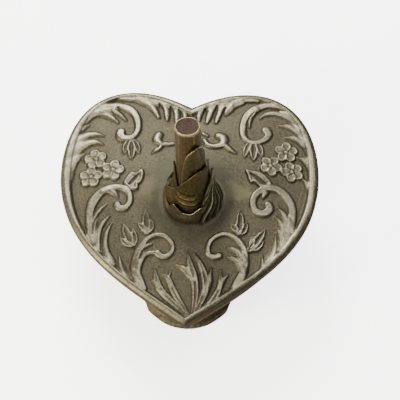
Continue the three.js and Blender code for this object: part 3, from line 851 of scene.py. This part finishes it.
sprig((16.8, -13.2), (17, -10.5), (17.2, -8), (17, -5.4))
sprig((16.4, -12.8), (15.2, -11.6), (14, -10.5))
sprig((17.6, -13.4), (18.7, -11.8), (19.3, -9.7))
sprig((20.3, -19), (22.4, -16.4), (24, -14.2), (25.6, -12))
sprig((20.6, -18), (21.3, -16), (21.9, -14.2))
sprig((21, -19), (23.2, -17.8), (24.8, -16))

# Lower scrolls, left and right.
lay([(-15.2, -32.8), (-17.6, -28.4), (-18.2, -23.6), (-17, -19), (-14.4, -15.6), (-11.2, -14.2), (-8, -15),
    (-6, -17.4), (-5.9, -20), (-7.6, -21.9), (-9.6, -21.8), (-10.8, -20.6)],
    (0.9, 1.4, 1.45, 1.25, 0.95, 0.7, 0.6, 0.55, 0.55, 0.6, 0.7, 0.85), 1.0, strap)
finger([(-17.6, -23.6), (-16.4, -20), (-15, -18.2), (-12.9, -17.3)], (0.9, 0.7, 0.6, 0.3))
lay([(-17.6, -27), (-16.2, -22.8), (-14.2, -20.7), (-11.4, -20.4)], (1.0, 0.8, 0.7, 0.55),
    (0.95, 0.9, 0.85, 0.8))
carve([(-16.9, -22.6), (-15.6, -19.6), (-13.6, -18.4)], (0.25, 0.35, 0.3), 0.5)
lay([(14.2, -33.6), (17, -29), (18.5, -24.6), (18.6, -20), (16.9, -16.4), (13.8, -14.2), (10.6, -14.1),
    (7.6, -15.9), (6.2, -18.5), (6.4, -20.9), (8, -22.1), (9.9, -21.6)],
    (0.9, 1.25, 1.2, 1.05, 0.9, 0.75, 0.65, 0.6, 0.6, 0.65, 0.65, 0.85), 1.0, strap)
finger([(18.1, -22.8), (16.2, -19.9), (12.8, -18.7)], (1.1, 0.8, 0.3))
finger([(17.8, -26.6), (16, -23.2), (12.8, -21.9)], (1.1, 0.8, 0.3))

# Fan of toothed grass that grows from the point.
lay([(-0.3, -43), (-4.5, -38.8), (-8.4, -34.8), (-10.6, -31.2), (-11.7, -26)],
    (0.45, 0.65, 0.9, 0.95, 0.3), GRASS, veined)
lay([(-10, -32.2), (-12.3, -29.8)], (0.8, 0.35), (0.8, 0.6))
lay([(-8.6, -34.6), (-10.9, -33.3)], (0.7, 0.3), (0.75, 0.5))
lay([(0, -42.6), (-3.2, -37.6), (-5.6, -33.2), (-7, -30), (-9.2, -27.6)], (0.45, 0.65, 0.9, 0.85, 0.3),
    GRASS, veined)
lay([(-6.1, -32), (-6.9, -29.4), (-6.5, -27.7)], (0.8, 0.6, 0.3), (0.8, 0.7, 0.5))
lay([(0.7, -43), (1.7, -37.4), (1.9, -33), (1.3, -28.6), (0.1, -24.6), (-0.6, -20.8)],
    (0.45, 0.7, 1.0, 1.1, 0.85, 0.3), GRASS, veined)
lay([(1.4, -30), (-1.3, -26.8), (-4.4, -24.8)], (1.0, 1.0, 0.3), (0.85, 0.8, 0.5))
lay([(0.2, -29), (-1, -28.4)], (0.8, 0.4), (0.8, 0.6))
lay([(1.3, -42.6), (3.9, -37.2), (5.3, -32.6), (4.8, -28), (3.2, -24), (1.5, -21.1)],
    (0.45, 0.7, 1.1, 1.0, 0.75, 0.3), GRASS, veined)
lay([(5, -35), (6.2, -31.4), (7.2, -26.2)], (0.9, 1.0, 0.3), (0.85, 0.8, 0.5))
lay([(5.6, -33), (6.9, -31.8)], (0.8, 0.35), (0.8, 0.6))
lay([(1.9, -42.2), (6.9, -37.8), (9.4, -34), (10.3, -30.4), (10.3, -26.6)], (0.45, 0.65, 0.9, 0.75, 0.3),
    GRASS, veined)
lay([(9.8, -33), (11, -30.2), (12.7, -28.2)], (0.8, 0.75, 0.3), (0.85, 0.75, 0.5))
lay([(2, -42.3), (8.6, -38.7), (13, -35), (15, -32)], (0.4, 0.6, 0.8, 0.9), (0.5, 0.7, 0.8, 0.9), blade)

# Small scrolls on either side behind the post.
lay([(-11.2, 26), (-11.8, 24), (-10.7, 22.4), (-8.4, 21.9), (-6, 22.2)], (1.2, 1.3, 0.85, 0.7, 0.6),
    (1.0, 0.95, 0.85, 0.8))
lay([(-10.7, 22.4), (-10.5, 20.6), (-12, 19.4), (-13.4, 18.2)], (0.7, 0.6, 0.65, 0.3),
    (0.9, 0.9, 0.85, 0.5))
lay([(10.2, 25.6), (11.6, 24.8), (11.9, 22.8), (10.6, 21.4), (8, 21), (6, 22), (5, 23.8)],
    (1.2, 1.4, 1.2, 0.95, 0.85, 0.8, 0.65), (0.95, 1.0, 1.0, 0.95, 0.9))
lay([(12, 21.8), (13.8, 19.9), (16.1, 18)], (0.9, 0.8, 0.3), (0.9, 0.85, 0.5))
lay([(4.6, 26.8), (6.2, 25.6)], (0.6, 0.4), (0.7, 0.6))

# Rim: rolled to a crest 1.8 mm in, broad on the outsides of the lobes and narrow elsewhere.
GROUND_Z, CREST_INSET, CREST_RISE = 31.8, 1.8, 1.15
RIM_STATIONS = (0, 1, 1.25, 1.6, 1.85, 2.0, 2.3, 2.6, 2.9, 3.15, 3.5, 4)
RIM_WIDTHS = (2.6, 2.7, 2.9, 3.1, 4.0, 4.5, 4.1, 3.1, 2.7, 2.9, 3.4, 3.6)


def rim_roll(inset):
    """The most that anything may stand up this far from the edge."""
    return CREST_RISE - 1.0 * np.clip(1 - inset / CREST_INSET, 0, 1) ** 1.8


def rim_rise(stations, inset):
    width = np.interp(np.abs(stations), RIM_STATIONS, RIM_WIDTHS)
    top = rim_roll(inset) - 0.22 * ease(CREST_INSET, 4.5, inset)
    return top * ease(0, 1.3, width - inset) ** 0.8


def blurred(values, size):
    reach = int(3 * size / PITCH)
    weights = np.exp(-0.5 * (np.arange(-reach, reach + 1) * PITCH / size) ** 2)
    weights /= weights.sum()

    def run(line):
        return np.convolve(np.pad(line, reach, "edge"), weights, "valid")

    return np.apply_along_axis(run, 1, np.apply_along_axis(run, 0, values))


def sampled(values, x, y):
    """Values of the height map between its places."""
    col = np.clip((x + REACH) / PITCH, 0, len(rule) - 1.001)
    row = np.clip((y + REACH) / PITCH, 0, len(rule) - 1.001)
    c, r = col.astype(int), row.astype(int)
    fc, fr = col - c, row - r
    low = values[r, c] * (1 - fc) + values[r, c + 1] * fc
    high = values[r + 1, c] * (1 - fc) + values[r + 1, c + 1] * fc
    return low * (1 - fr) + high * fr


edge_stations = even_stations(1400)
edge_line = heart(edge_stations)
rim_map = np.zeros(relief.shape)
for number, y in enumerate(rule):
    gap = (rule[:, None] - edge_line[:, 0]) ** 2 + (y - edge_line[:, 1]) ** 2
    nearest = gap.argmin(axis=1)
    rim_map[number] = rim_rise(edge_stations[nearest], np.sqrt(gap.min(axis=1)))
relief = blurred(relief, 0.09)
whole = melted(relief, rim_map)
hollows = 0.4 * ease(0.3, 0.85, whole) - 0.04
hollows += 0.36 * (whole - blurred(whole, 0.5)) + 0.26 * (whole - blurred(whole, 1.6))

# The dome: from the ground inside the rim up to a round landing for the post.
POST_LEAN = -0.023
cup_low, cup_high = (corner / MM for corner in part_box("post_cup"))
LANDING_R = 11.5
lid_bottom, landing_z = (corner.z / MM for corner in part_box("lid_shell"))
cup_middle = (cup_low + cup_high) / 2
POST_X = cup_middle.x - math.sin(POST_LEAN) * (cup_middle.z - landing_z)
POST_Y = cup_middle.y
DOME = ((0.0, 32.0), (0.2, 32.65), (0.4, 33.35), (0.6, 33.9), (0.76, 34.35), (0.88, 34.95), (0.95, 35.6),
        (1.0, landing_z))  # share of the way from the rim to the landing, height


def dome_height(share):
    """A smooth curve through the dome's places: the slope at each is that between its neighbours."""
    shares, heights = (np.array(v) for v in zip(*DOME))
    slopes = np.gradient(heights, shares)
    k = np.clip(np.searchsorted(shares, share, side="right") - 1, 0, len(shares) - 2)
    span = shares[k + 1] - shares[k]
    t = (share - shares[k]) / span
    return ((2 * t**3 - 3 * t**2 + 1) * heights[k] + (t**3 - 2 * t**2 + t) * span * slopes[k]
            + (3 * t**2 - 2 * t**3) * heights[k + 1] + (t**3 - t**2) * span * slopes[k + 1])


LID_COLUMNS = 1000
DOME_INSET = 6.0
lid_stations = even_stations(LID_COLUMNS)
post_middle = np.array([POST_X, POST_Y])


def circle_under(stations, radius):
    away = heart(stations, DOME_INSET) - post_middle
    return post_middle + radius * away / np.linalg.norm(away, axis=1)[:, None]


def plain_row(stations, flat, height):
    return np.column_stack([flat, np.full(len(stations), height)]), np.zeros(len(stations))


def chased_row(stations, flat, ground, limit, rim):
    raised = melted(np.minimum(sampled(relief, flat[:, 0], flat[:, 1]), limit), rim)
    return np.column_stack([flat, ground + raised]), sampled(hollows, flat[:, 0], flat[:, 1])


LID_SIDE = ((lid_bottom, 0.45), (lid_bottom + 0.12, 0.15), (lid_bottom + 0.4, 0.0), (30.3, 0.0), (31.1, 0.0))
lid_rows = []
# The lid's side is painted lighter on the left and darker on the right: painted light from the left.
for height, inset in LID_SIDE:
    row, tone = plain_row(lid_stations, heart(lid_stations, inset), height)
    lid_rows.append((row, tone + 0.2 - 0.6 * ease(-10, 10, row[:, 0])))
over_edge = 0.02 + 1.5 * np.linspace(0, 1, 9)[1:] ** 1.6
rim_insets = np.concatenate([[0.0], over_edge, np.linspace(1.5, DOME_INSET, 19)[1:]])
for inset in rim_insets:
    flat = heart(lid_stations, inset)
    ground = GROUND_Z + 0.2 * ease(3.6, DOME_INSET, inset)
    row, tone = chased_row(lid_stations, flat, ground, rim_roll(inset), rim_rise(lid_stations, inset))
    # The rim's tone rises towards its crest, where it is rubbed and a highlight is painted, and falls from
    # left to right: painted light from the left.
    rubbed_and_lit = 0.2 + 0.22 * inset - 0.22 * ease(-10, 10, row[:, 0])
    lid_rows.append((row, np.where(inset < CREST_INSET, rubbed_and_lit, tone)))
DOME_RINGS = 108
for number in range(1, DOME_RINGS + 1):
    share = number / DOME_RINGS
    halvings = (share > 0.32) + (share > 0.76)
    stations = lid_stations[::2**halvings]
    start = heart(stations, DOME_INSET)
    flat = start + (circle_under(stations, LANDING_R) - start) * share
    fade = 1 - ease(0.8, 0.95, share)
    row, tone = chased_row(stations, flat, dome_height(np.full(len(stations), share)), np.inf, 0.0)
    row[:, 2] = dome_height(share) + (row[:, 2] - dome_height(share)) * fade
    # The dome darkens close to the post: partly tarnish, partly painted shade of the post.
    tarnish_and_shade_near_post = ease(0.62, 1.0, share)
    lid_rows.append((row, tone - 0.35 * tarnish_and_shade_near_post))
coarse = lid_stations[::4]
LID_THICKNESS, HOLE_R = 1.8, 2.5
lid_rows.append(plain_row(coarse, circle_under(coarse, 6.0), landing_z))
lid_rows.append(plain_row(coarse, circle_under(coarse, HOLE_R), landing_z))
lid_rows.append(plain_row(coarse, circle_under(coarse, HOLE_R), landing_z - LID_THICKNESS))
lid_rows.append(plain_row(coarse, circle_under(coarse, LANDING_R - 0.8), landing_z - LID_THICKNESS))
for height, share in ((33.1, 0.86), (32.4, 0.6), (31.5, 0.35), (30.3, 0.06)):
    start = heart(coarse, DOME_INSET)
    lid_rows.append(plain_row(coarse, start + (circle_under(coarse, LANDING_R) - start) * share, height))
lid_rows.append(plain_row(coarse, heart(coarse, 5.8), lid_bottom))
lid_rows.append(plain_row(lid_stations[::2], heart(lid_stations[::2], 3.0), lid_bottom))
points, tones = zip(*lid_rows)
LID_SILVER = metal("chased_lid_silver", (99, 94, 77), (61, 57, 45), (26, 23, 16), (55, 53, 41), 0.8,
                   edge=(170, 165, 150))
# A dark patch round the post is partly tarnish and partly painted shade of the post. The paler patch on
# either side of it is a painted highlight on the dome's flanks.
add_stain_and_light(LID_SILVER, (POST_X - 0.5, POST_Y + 2.5), 10, 22, (57, 57, 46), 0.62)
add_stain_and_light(LID_SILVER, (POST_X - 16, POST_Y + 5), 1.0, 6.0, (80, 75, 57), 0.5)
add_stain_and_light(LID_SILVER, (POST_X + 16, POST_Y + 4), 1.0, 6.0, (88, 83, 62), 0.55)
lid = metal_skin("lid_shell_chased", list(points), looped=True, tone=list(tones))
place(lid, LID_SILVER, "lid", "silver_plate", "lid_shell")

# ---- Lid flange and lid lining ------------------------------------------------------------------
# A thin strip soldered under the lid drops inside the wall and keeps the loose lid in place. A
# flat heart of card covered in the same velvet is pressed in behind it.

finish_as_built("lid_flange", UNDER_SILVER)
lining_bottom, lining_top = (corner.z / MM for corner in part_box("lid_lining"))
lid_lining = heart_slab("velvet_lid_lining", 5.85, BLUNT, lining_bottom, lining_top, 240, 0.5, 12)
close_holes(lid_lining)
place(lid_lining, VELVET, "lid", "velvet", "lid_lining")

# ---- Cup at the foot of the post ----------------------------------------------------------------
# A small cast cup stands on the lid's landing and holds the foot of the post. Its lip is drawn up
# in soft points like the sepals of a bud, with a painted highlight where it faces the front.

post_foot_z = landing_z


def stand(points):
    """Leans points about the foot of the post, as the whole post leans."""
    x, y, z = np.asarray(points).T
    sin, cos = math.sin(POST_LEAN), math.cos(POST_LEAN)
    return np.column_stack([POST_X + x * cos + z * sin, POST_Y + y, post_foot_z - x * sin + z * cos])


def round_post(degrees, radius, height):
    """Degrees go round from the front, 0, by way of the right side, 90."""
    a = np.radians(degrees)
    return stand(np.column_stack([np.sin(a) * radius, -np.cos(a) * radius, height * np.ones(len(a))]))


def cup_lip(degrees):
    """The lip's height: low in front, with a point on either side."""
    away = np.abs((degrees + 9 + 180) % 360 - 180)
    front = 5.2 + 3.4 * ease(6, 34, away)
    under_leaves = ease(30, 52, np.where((degrees > -9) & (degrees < 171), away, 0))
    left = ease(30, 50, np.where(degrees <= -9, away, 0))
    return front - 3.4 * under_leaves - 4.4 * left


CUP_COLUMNS = 240
cup_degrees = np.linspace(-180, 180, CUP_COLUMNS, endpoint=False)
lip = cup_lip(cup_degrees)
cup_outside = ((0.4, 8.9), (0.45, 9.35), (0.8, 9.75), (1.5, 9.95), (2.6, 9.95), (3.6, 9.7))
cup_rows, cup_tones = [], []


def add_cup_row(radius, height, tone):
    cup_rows.append(round_post(cup_degrees, radius, height))
    cup_tones.append(np.zeros(CUP_COLUMNS) + tone)


add_cup_row(HOLE_R, 0.4, 0)
for height, radius in cup_outside:
    add_cup_row(radius, height, -0.3 + 0.06 * height)
for share in np.linspace(0.15, 1, 12):
    add_cup_row(9.7 - 0.75 * share, 3.6 + (lip - 3.6) * share, -0.2 + 0.35 * share**2)
# A painted highlight runs along the lip where it faces the front.
lip_highlight = 1.3 * (1 - ease(26, 42, np.abs(cup_degrees + 9))) - 0.15
add_cup_row(8.8, lip + 0.12, lip_highlight)
add_cup_row(8.6, lip - 0.02, lip_highlight)
for share in np.linspace(0.9, 0, 9):
    add_cup_row(8.45 + 0.2 * (1 - share), 3.0 + (lip - 3.0) * share, -0.6 + 0.6 * share)
add_cup_row(8.2, 1.15, -0.7)
add_cup_row(HOLE_R, 1.1, -0.7)
CUP_METAL = metal("tarnished_and_lit_cup", (124, 114, 86), (64, 57, 40), (34, 29, 18), (48, 47, 37), 0.85)
cup = metal_skin("post_cup_cast", cup_rows, looped=True, tone=cup_tones)
place(cup, CUP_METAL, "lid", "silver_plate", "post_cup")

# ---- Ring post ----------------------------------------------------------------------------------
# The post is a tapering bronze stem, cast hollow at its foot for the screw. It is a little flat
# from front to back, with a worn, bevelled edge round its dull reddish end.

BORE_R, BORE_TOP = 2.3, 11.9
POST_OUTSIDE = ((1.4, 5.9), (5.0, 5.9), (10.0, 5.3), (14.0, 4.9), (20.0, 4.5), (27.0, 4.35), (40.0, 4.1),
                (45.4, 4.05))  # height above the landing, radius
POST_COLUMNS = 120
post_degrees = np.linspace(-180, 180, POST_COLUMNS, endpoint=False)


def post_radius(height):
    heights, radii = zip(*POST_OUTSIDE)
    return np.interp(height, heights, radii)


# The post's end is not quite round. Its radius, as a share, every 30 degrees from the back by the left.
POST_END_SHAPE = (0.9, 0.95, 1.0, 1.0, 0.92, 0.86, 0.82, 0.84, 0.93, 1.0, 1.0, 0.95, 0.9)


def stem_row(radius, height):
    worn = smooth_table(POST_END_SHAPE, (post_degrees + 180) / 360)
    return round_post(post_degrees, radius * (1 - (1 - worn) * ease(30, 44, height)), height)


stem_rows = [round_post(post_degrees, 0.05, BORE_TOP), round_post(post_degrees, BORE_R, BORE_TOP),
             round_post(post_degrees, BORE_R, POST_OUTSIDE[0][0])]
stem_tones = [-0.5, -0.5, -0.4]
streaks = sum(0.11 * np.cos(np.radians(post_degrees * n + 47 * n)) for n in (5, 9, 13, 22))
for height in np.linspace(POST_OUTSIDE[0][0], 45.5, 70):
    stem_rows.append(stem_row(post_radius(height) + 0.07 * streaks, height))
    stem_tones.append(-0.15 + 0.9 * streaks + 0.3 * ease(44.5, 45.5, height))
for height, radius, tone in ((45.65, 4.04, 0.4), (45.9, 3.95, 0.9), (46.1, 3.82, 1.0), (46.2, 3.62, 0.9),
                             (46.13, 3.52, -0.2), (46.1, 3.2, -0.3), (46.06, 2.0, -0.3), (46.06, 1.0, -0.3),
                             (46.06, 0.05, -0.3)):
    stem_rows.append(stem_row(radius, height))
    stem_tones.append(tone)
stem = metal_skin("ring_post_stem", stem_rows, tone=[np.zeros(POST_COLUMNS) + t for t in stem_tones])
close_holes(stem)
STEM_BRONZE = metal("stem_bronze", (112, 96, 62), (60, 49, 26), (24, 19, 9), (62, 48, 28), 0.92, 1100.0)
END_BRONZE = metal("post_end_bronze", (126, 110, 88), (49, 38, 31), (32, 25, 19), (44, 38, 34), 0.92, 1700.0)
place(stem, STEM_BRONZE, "lid", "post_bronze", "ring_post")
stem.data.materials.append(END_BRONZE)
end_z = round_post(np.array([0.0]), 3.3, 46.0)[0][2] * MM
for face in stem.data.polygons:
    middle = Vector((face.center.x - POST_X * MM, face.center.y - POST_Y * MM, 0)) + Vector((1.05 * MM, 0, 0))
    if face.center.z > end_z and middle.length < 3.56 * MM:
        face.material_index = 1

# ---- Leaves round the post ----------------------------------------------------------------------
# Long bronze leaves are wrapped over each other round the stem, and soldered at the foot. Each is
# a thin curved sheet with ribs along it and a raised edge that is rubbed bright.

LAYER = 1.05
LEAF = 0.5
LEAF_BRONZE = metal("leaf_bronze", (118, 104, 68), (60, 51, 27), (18, 14, 7), (52, 48, 27), 0.92, 1100.0)
GREEN_BRONZE = metal("fringe_bronze", (128, 126, 98), (46, 43, 31), (12, 11, 8), (34, 37, 31), 0.9, 1100.0)


def in_layer(layer):
    return lambda degrees, height: post_radius(height) + 0.2 + layer * LAYER


def over_cup(degrees, height):
    clear_of_cup = 10.2 + (9.35 - 10.2) * (height - 1.4) / (4.9 - 1.4)
    share = ease(5.5, 13, height)
    return clear_of_cup * (1 - share) + in_layer(2)(degrees, height) * share


def bulging_left(degrees, height):
    left = (1 - ease(-66, -30, degrees)) * ease(4.2, 6.4, height) * (1 - ease(7.5, 14, height))
    return in_layer(1)(degrees, height) + 1.4 * left


def flared_left(degrees, height):
    return in_layer(0)(degrees, height) + 1.3 * (1 - ease(8, 15, height)) * (1 - ease(-60, -40, degrees))


def ribbed(count, depth, slant=0.0, contrast=0.8):
    def texture(degrees, height, across, along):
        rib = np.abs(np.sin(math.pi * count * (across + slant * along))) ** 0.7
        return depth * (rib - 0.6), contrast * (rib - 0.72)
    return texture


def fringe(degrees, height, across, along):
    """Uneven strands that run up and round to the right, painted pale along their crests as highlights and
    darker between them.
    """
    place = 5.5 * (across - 0.7 * along + 0.05 * np.sin(9 * along + 5 * across))
    rib = np.abs(np.sin(math.pi * place)) ** 0.7
    uneven = 0.75 + 0.25 * np.sin(2.6 * place)
    return 0.85 * uneven * (rib - 0.6), 1.9 * uneven * (rib - 0.72)


def strands(degrees, height, across, along):
    """Level strands across the front, with a painted highlight along each crest and darker troughs; the rest
    is smooth.
    """
    here = ease(-50, -30, degrees) * (1 - ease(8, 26, degrees))
    here = here * ease(6.5, 8, height) * (1 - ease(14, 16.5, height))
    wave = np.cos(2 * math.pi * (height - 0.0009 * (degrees + 8) ** 2) / 3.1 + 0.02 * degrees)
    crest = np.clip(wave, 0, None) ** 3
    return (0.3 * wave + 0.2 * crest) * here, (0.6 * crest - 0.4 * np.clip(-wave, 0, None)) * here - 0.06


def leaf(name, node, left, right, inner_radius, texture, material, edge=0.3, edge_tone=0.7):
    """A sheet between two margins given as (degrees, height), from its bottom to its tip."""
    long, wide = 110, 64
    left_line, left_share = spline([(d / 6, h) for d, h in left], 0.1)
    right_line, right_share = spline([(d / 6, h) for d, h in right], 0.1)
    shares = np.linspace(0, 1, long)
    low = np.column_stack([np.interp(shares, left_share, left_line[:, k]) for k in (0, 1)])
    high = np.column_stack([np.interp(shares, right_share, right_line[:, k]) for k in (0, 1)])
    across = np.linspace(0, 1, wide)
    rows, tones = [], []
    for share, start, end in zip(shares, low, high):
        spot = start + (end - start) * across[:, None]
        degrees, height = spot[:, 0] * 6, spot[:, 1]
        raised, tone = texture(degrees, height, across, share)
        margin = np.exp(-across / 0.045) + np.exp(-(1 - across) / 0.045)
        lift = LEAF + raised + edge * margin * ease(0, 0.2, share)
        radius = inner_radius(degrees, height)
        outer = round_post(degrees, radius + np.maximum(lift, 0.25), height)
        inner = round_post(degrees, radius + 0.02, height)
        rows.append(np.vstack([outer, inner[::-1]]))
        tones.append(np.concatenate([tone + edge_tone * margin - 0.1, np.full(wide, edge_tone - 0.3)]))
    piece = metal_skin(name, rows, tone=tones)
    close_holes(piece)
    return place(piece, material, "lid", "post_bronze", node)


leaf("upper_right_leaf_cast", "upper_right_leaf",
     [(-32, 8), (-31, 20), (-24, 28), (-10, 35), (12, 38.5), (38, 39.6)],
     [(118, 8), (112, 20), (100, 28), (82, 34), (62, 38), (42, 39.6)],
     in_layer(0), ribbed(3, 0.35, 0, 0.4), LEAF_BRONZE, 0.3, 0.75)
leaf("upper_left_leaf_cast", "upper_left_leaf",
     [(-150, 6), (-136, 10), (-120, 15), (-106, 20), (-92, 25.5)],
     [(-40, 6), (-44, 12), (-56, 17), (-72, 21), (-89, 25.5)],
     flared_left, ribbed(4, 0.3, 0, 0.7), LEAF_BRONZE, 0.1, 0.2)
leaf("upper_back_leaf_cast", "upper_back_leaf",
     [(126, 6), (130, 16), (140, 25), (156, 33), (176, 38)],
     [(204, 6), (206, 16), (202, 25), (194, 33), (179, 38)],
     in_layer(0), ribbed(3, 0.4), LEAF_BRONZE)
leaf("front_wrap_leaf_cast", "front_wrap_leaf",
     [(-104, 3.4), (-102, 6), (-90, 9.4), (-54, 14.5), (-15, 22), (30, 27.2), (106, 24.6)],
     [(30, 3.4), (46, 5.4), (66, 8.4), (86, 12), (98, 16), (106, 20), (110, 23.6)],
     bulging_left, strands, LEAF_BRONZE, 0.15, 0.3)
leaf("back_wrap_leaf_cast", "back_wrap_leaf",
     [(118, 3.4), (120, 8), (130, 14), (152, 20), (190, 25)],
     [(240, 3.4), (238, 8), (232, 14), (220, 20), (194, 25)],
     in_layer(1), ribbed(5, 0.5), LEAF_BRONZE)
leaf("right_fringe_leaf_cast", "right_fringe_leaf",
     [(16, 1.6), (20, 5), (30, 10), (50, 15.5), (84, 22)],
     [(104, 1.6), (104, 5), (102, 10), (97, 15.5), (88, 22)],
     over_cup, fringe, GREEN_BRONZE, 0, 0)
leaf("back_fringe_leaf_cast", "back_fringe_leaf",
     [(168, 1.6), (170, 5), (178, 10), (190, 15), (208, 20)],
     [(236, 1.6), (230, 3.5), (222, 7), (216, 12), (211, 20)],
     over_cup, ribbed(8, 0.8, 0.4, 1.6), GREEN_BRONZE, 0, 0)

# ---- Washer and screw ---------------------------------------------------------------------------
# A steel washer and a slotted screw hold the post from inside the lid. They are bought parts of
# plain turned steel, so their shapes stay as they are.

SCREW_STEEL = metal("screw_steel", (140, 140, 138), (112, 112, 110), (46, 44, 40), (84, 80, 74), 0.95, 2400.0)
finish_as_built("post_washer", SCREW_STEEL)
finish_as_built("post_screw", SCREW_STEEL)

# ---- Table, light and camera --------------------------------------------------------------------
# The box stands on a plain pale table, lit softly through a window behind it, from above, and
# weakly from the front left. The camera looks down on the lid from the heart's point.

table_mesh = bpy.data.meshes.new("table")
SPREAD = 6.0
corners = [(x * SPREAD, y * SPREAD, 0) for x, y in ((-1, -1), (1, -1), (1, 1), (-1, 1))]
table_mesh.from_pydata(corners, [], [(0, 1, 2, 3)])
table = bpy.data.objects.new("table", table_mesh)
bpy.context.scene.collection.objects.link(table)
PALE_GLOW = 3.0  # what the camera sees of the table and the air beyond, over their own light
table_paint = bpy.data.materials.new("pale_table")
table_paint.use_nodes = True
paint_tree = table_paint.node_tree
paint = paint_tree.nodes["Principled BSDF"]
paint.inputs["Base Color"].default_value = (0.93, 0.93, 0.93, 1)
paint.inputs["Emission Color"].default_value = (1, 1, 1, 1)
paint.inputs["Roughness"].default_value = 0.9
table_seen = paint_tree.nodes.new("ShaderNodeLightPath").outputs["Is Camera Ray"]
table_glow = math_node(paint_tree, "MULTIPLY", table_seen, PALE_GLOW)
paint_tree.links.new(table_glow, paint.inputs["Emission Strength"])
table_mesh.materials.append(table_paint)

world = bpy.data.worlds.new("studio")
bpy.context.scene.world = world
world.use_nodes = True
air_tree = world.node_tree
air = air_tree.nodes["Background"]
air.inputs["Color"].default_value = (1, 1, 1, 1)
air_seen = air_tree.nodes.new("ShaderNodeLightPath").outputs["Is Camera Ray"]
air_glow = math_node(air_tree, "ADD", math_node(air_tree, "MULTIPLY", air_seen, PALE_GLOW), 0.25)
air_tree.links.new(air_glow, air.inputs["Strength"])


def soft_light(name, where, size, power, tint=(1.0, 1.0, 1.0)):
    lamp = bpy.data.lights.new(name, "AREA")
    lamp.shape = "DISK"
    lamp.size = size
    lamp.energy = power
    lamp.color = tint
    holder = bpy.data.objects.new(name, lamp)
    holder.location = where
    holder.rotation_euler = (Vector((0, 0, 0.03)) - Vector(where)).to_track_quat("-Z", "Y").to_euler()
    bpy.context.scene.collection.objects.link(holder)


soft_light("window", (-0.15, 0.52, 0.52), 0.36, 13.0)
soft_light("overhead", (0.22, 0.05, 0.95), 0.6, 9.8)
soft_light("front_left", (-0.22, -0.6, 0.5), 0.12, 3.5, (1.0, 0.95, 0.84))
soft_light("low_left", (-0.6, -0.3, 0.3), 0.2, 9.0, (1.0, 0.92, 0.74))

CAMERA_ELEVATION = math.radians(62)
CAMERA_DISTANCE = 0.34
CAMERA_TURN = math.radians(1.38)
aim = Vector((3.87, 0.47, 33.0)) * MM
level = math.cos(CAMERA_ELEVATION)
back = Vector((math.sin(CAMERA_TURN) * level, -math.cos(CAMERA_TURN) * level, math.sin(CAMERA_ELEVATION)))
lens = bpy.data.cameras.new("camera")
lens.lens = 88.32
lens.sensor_width = 36.0
lens.clip_start = 0.01
camera = bpy.data.objects.new("camera", lens)
camera.location = aim + back * CAMERA_DISTANCE
camera.rotation_euler = (-back).to_track_quat("-Z", "Y").to_euler()
bpy.context.scene.collection.objects.link(camera)
bpy.context.scene.camera = camera
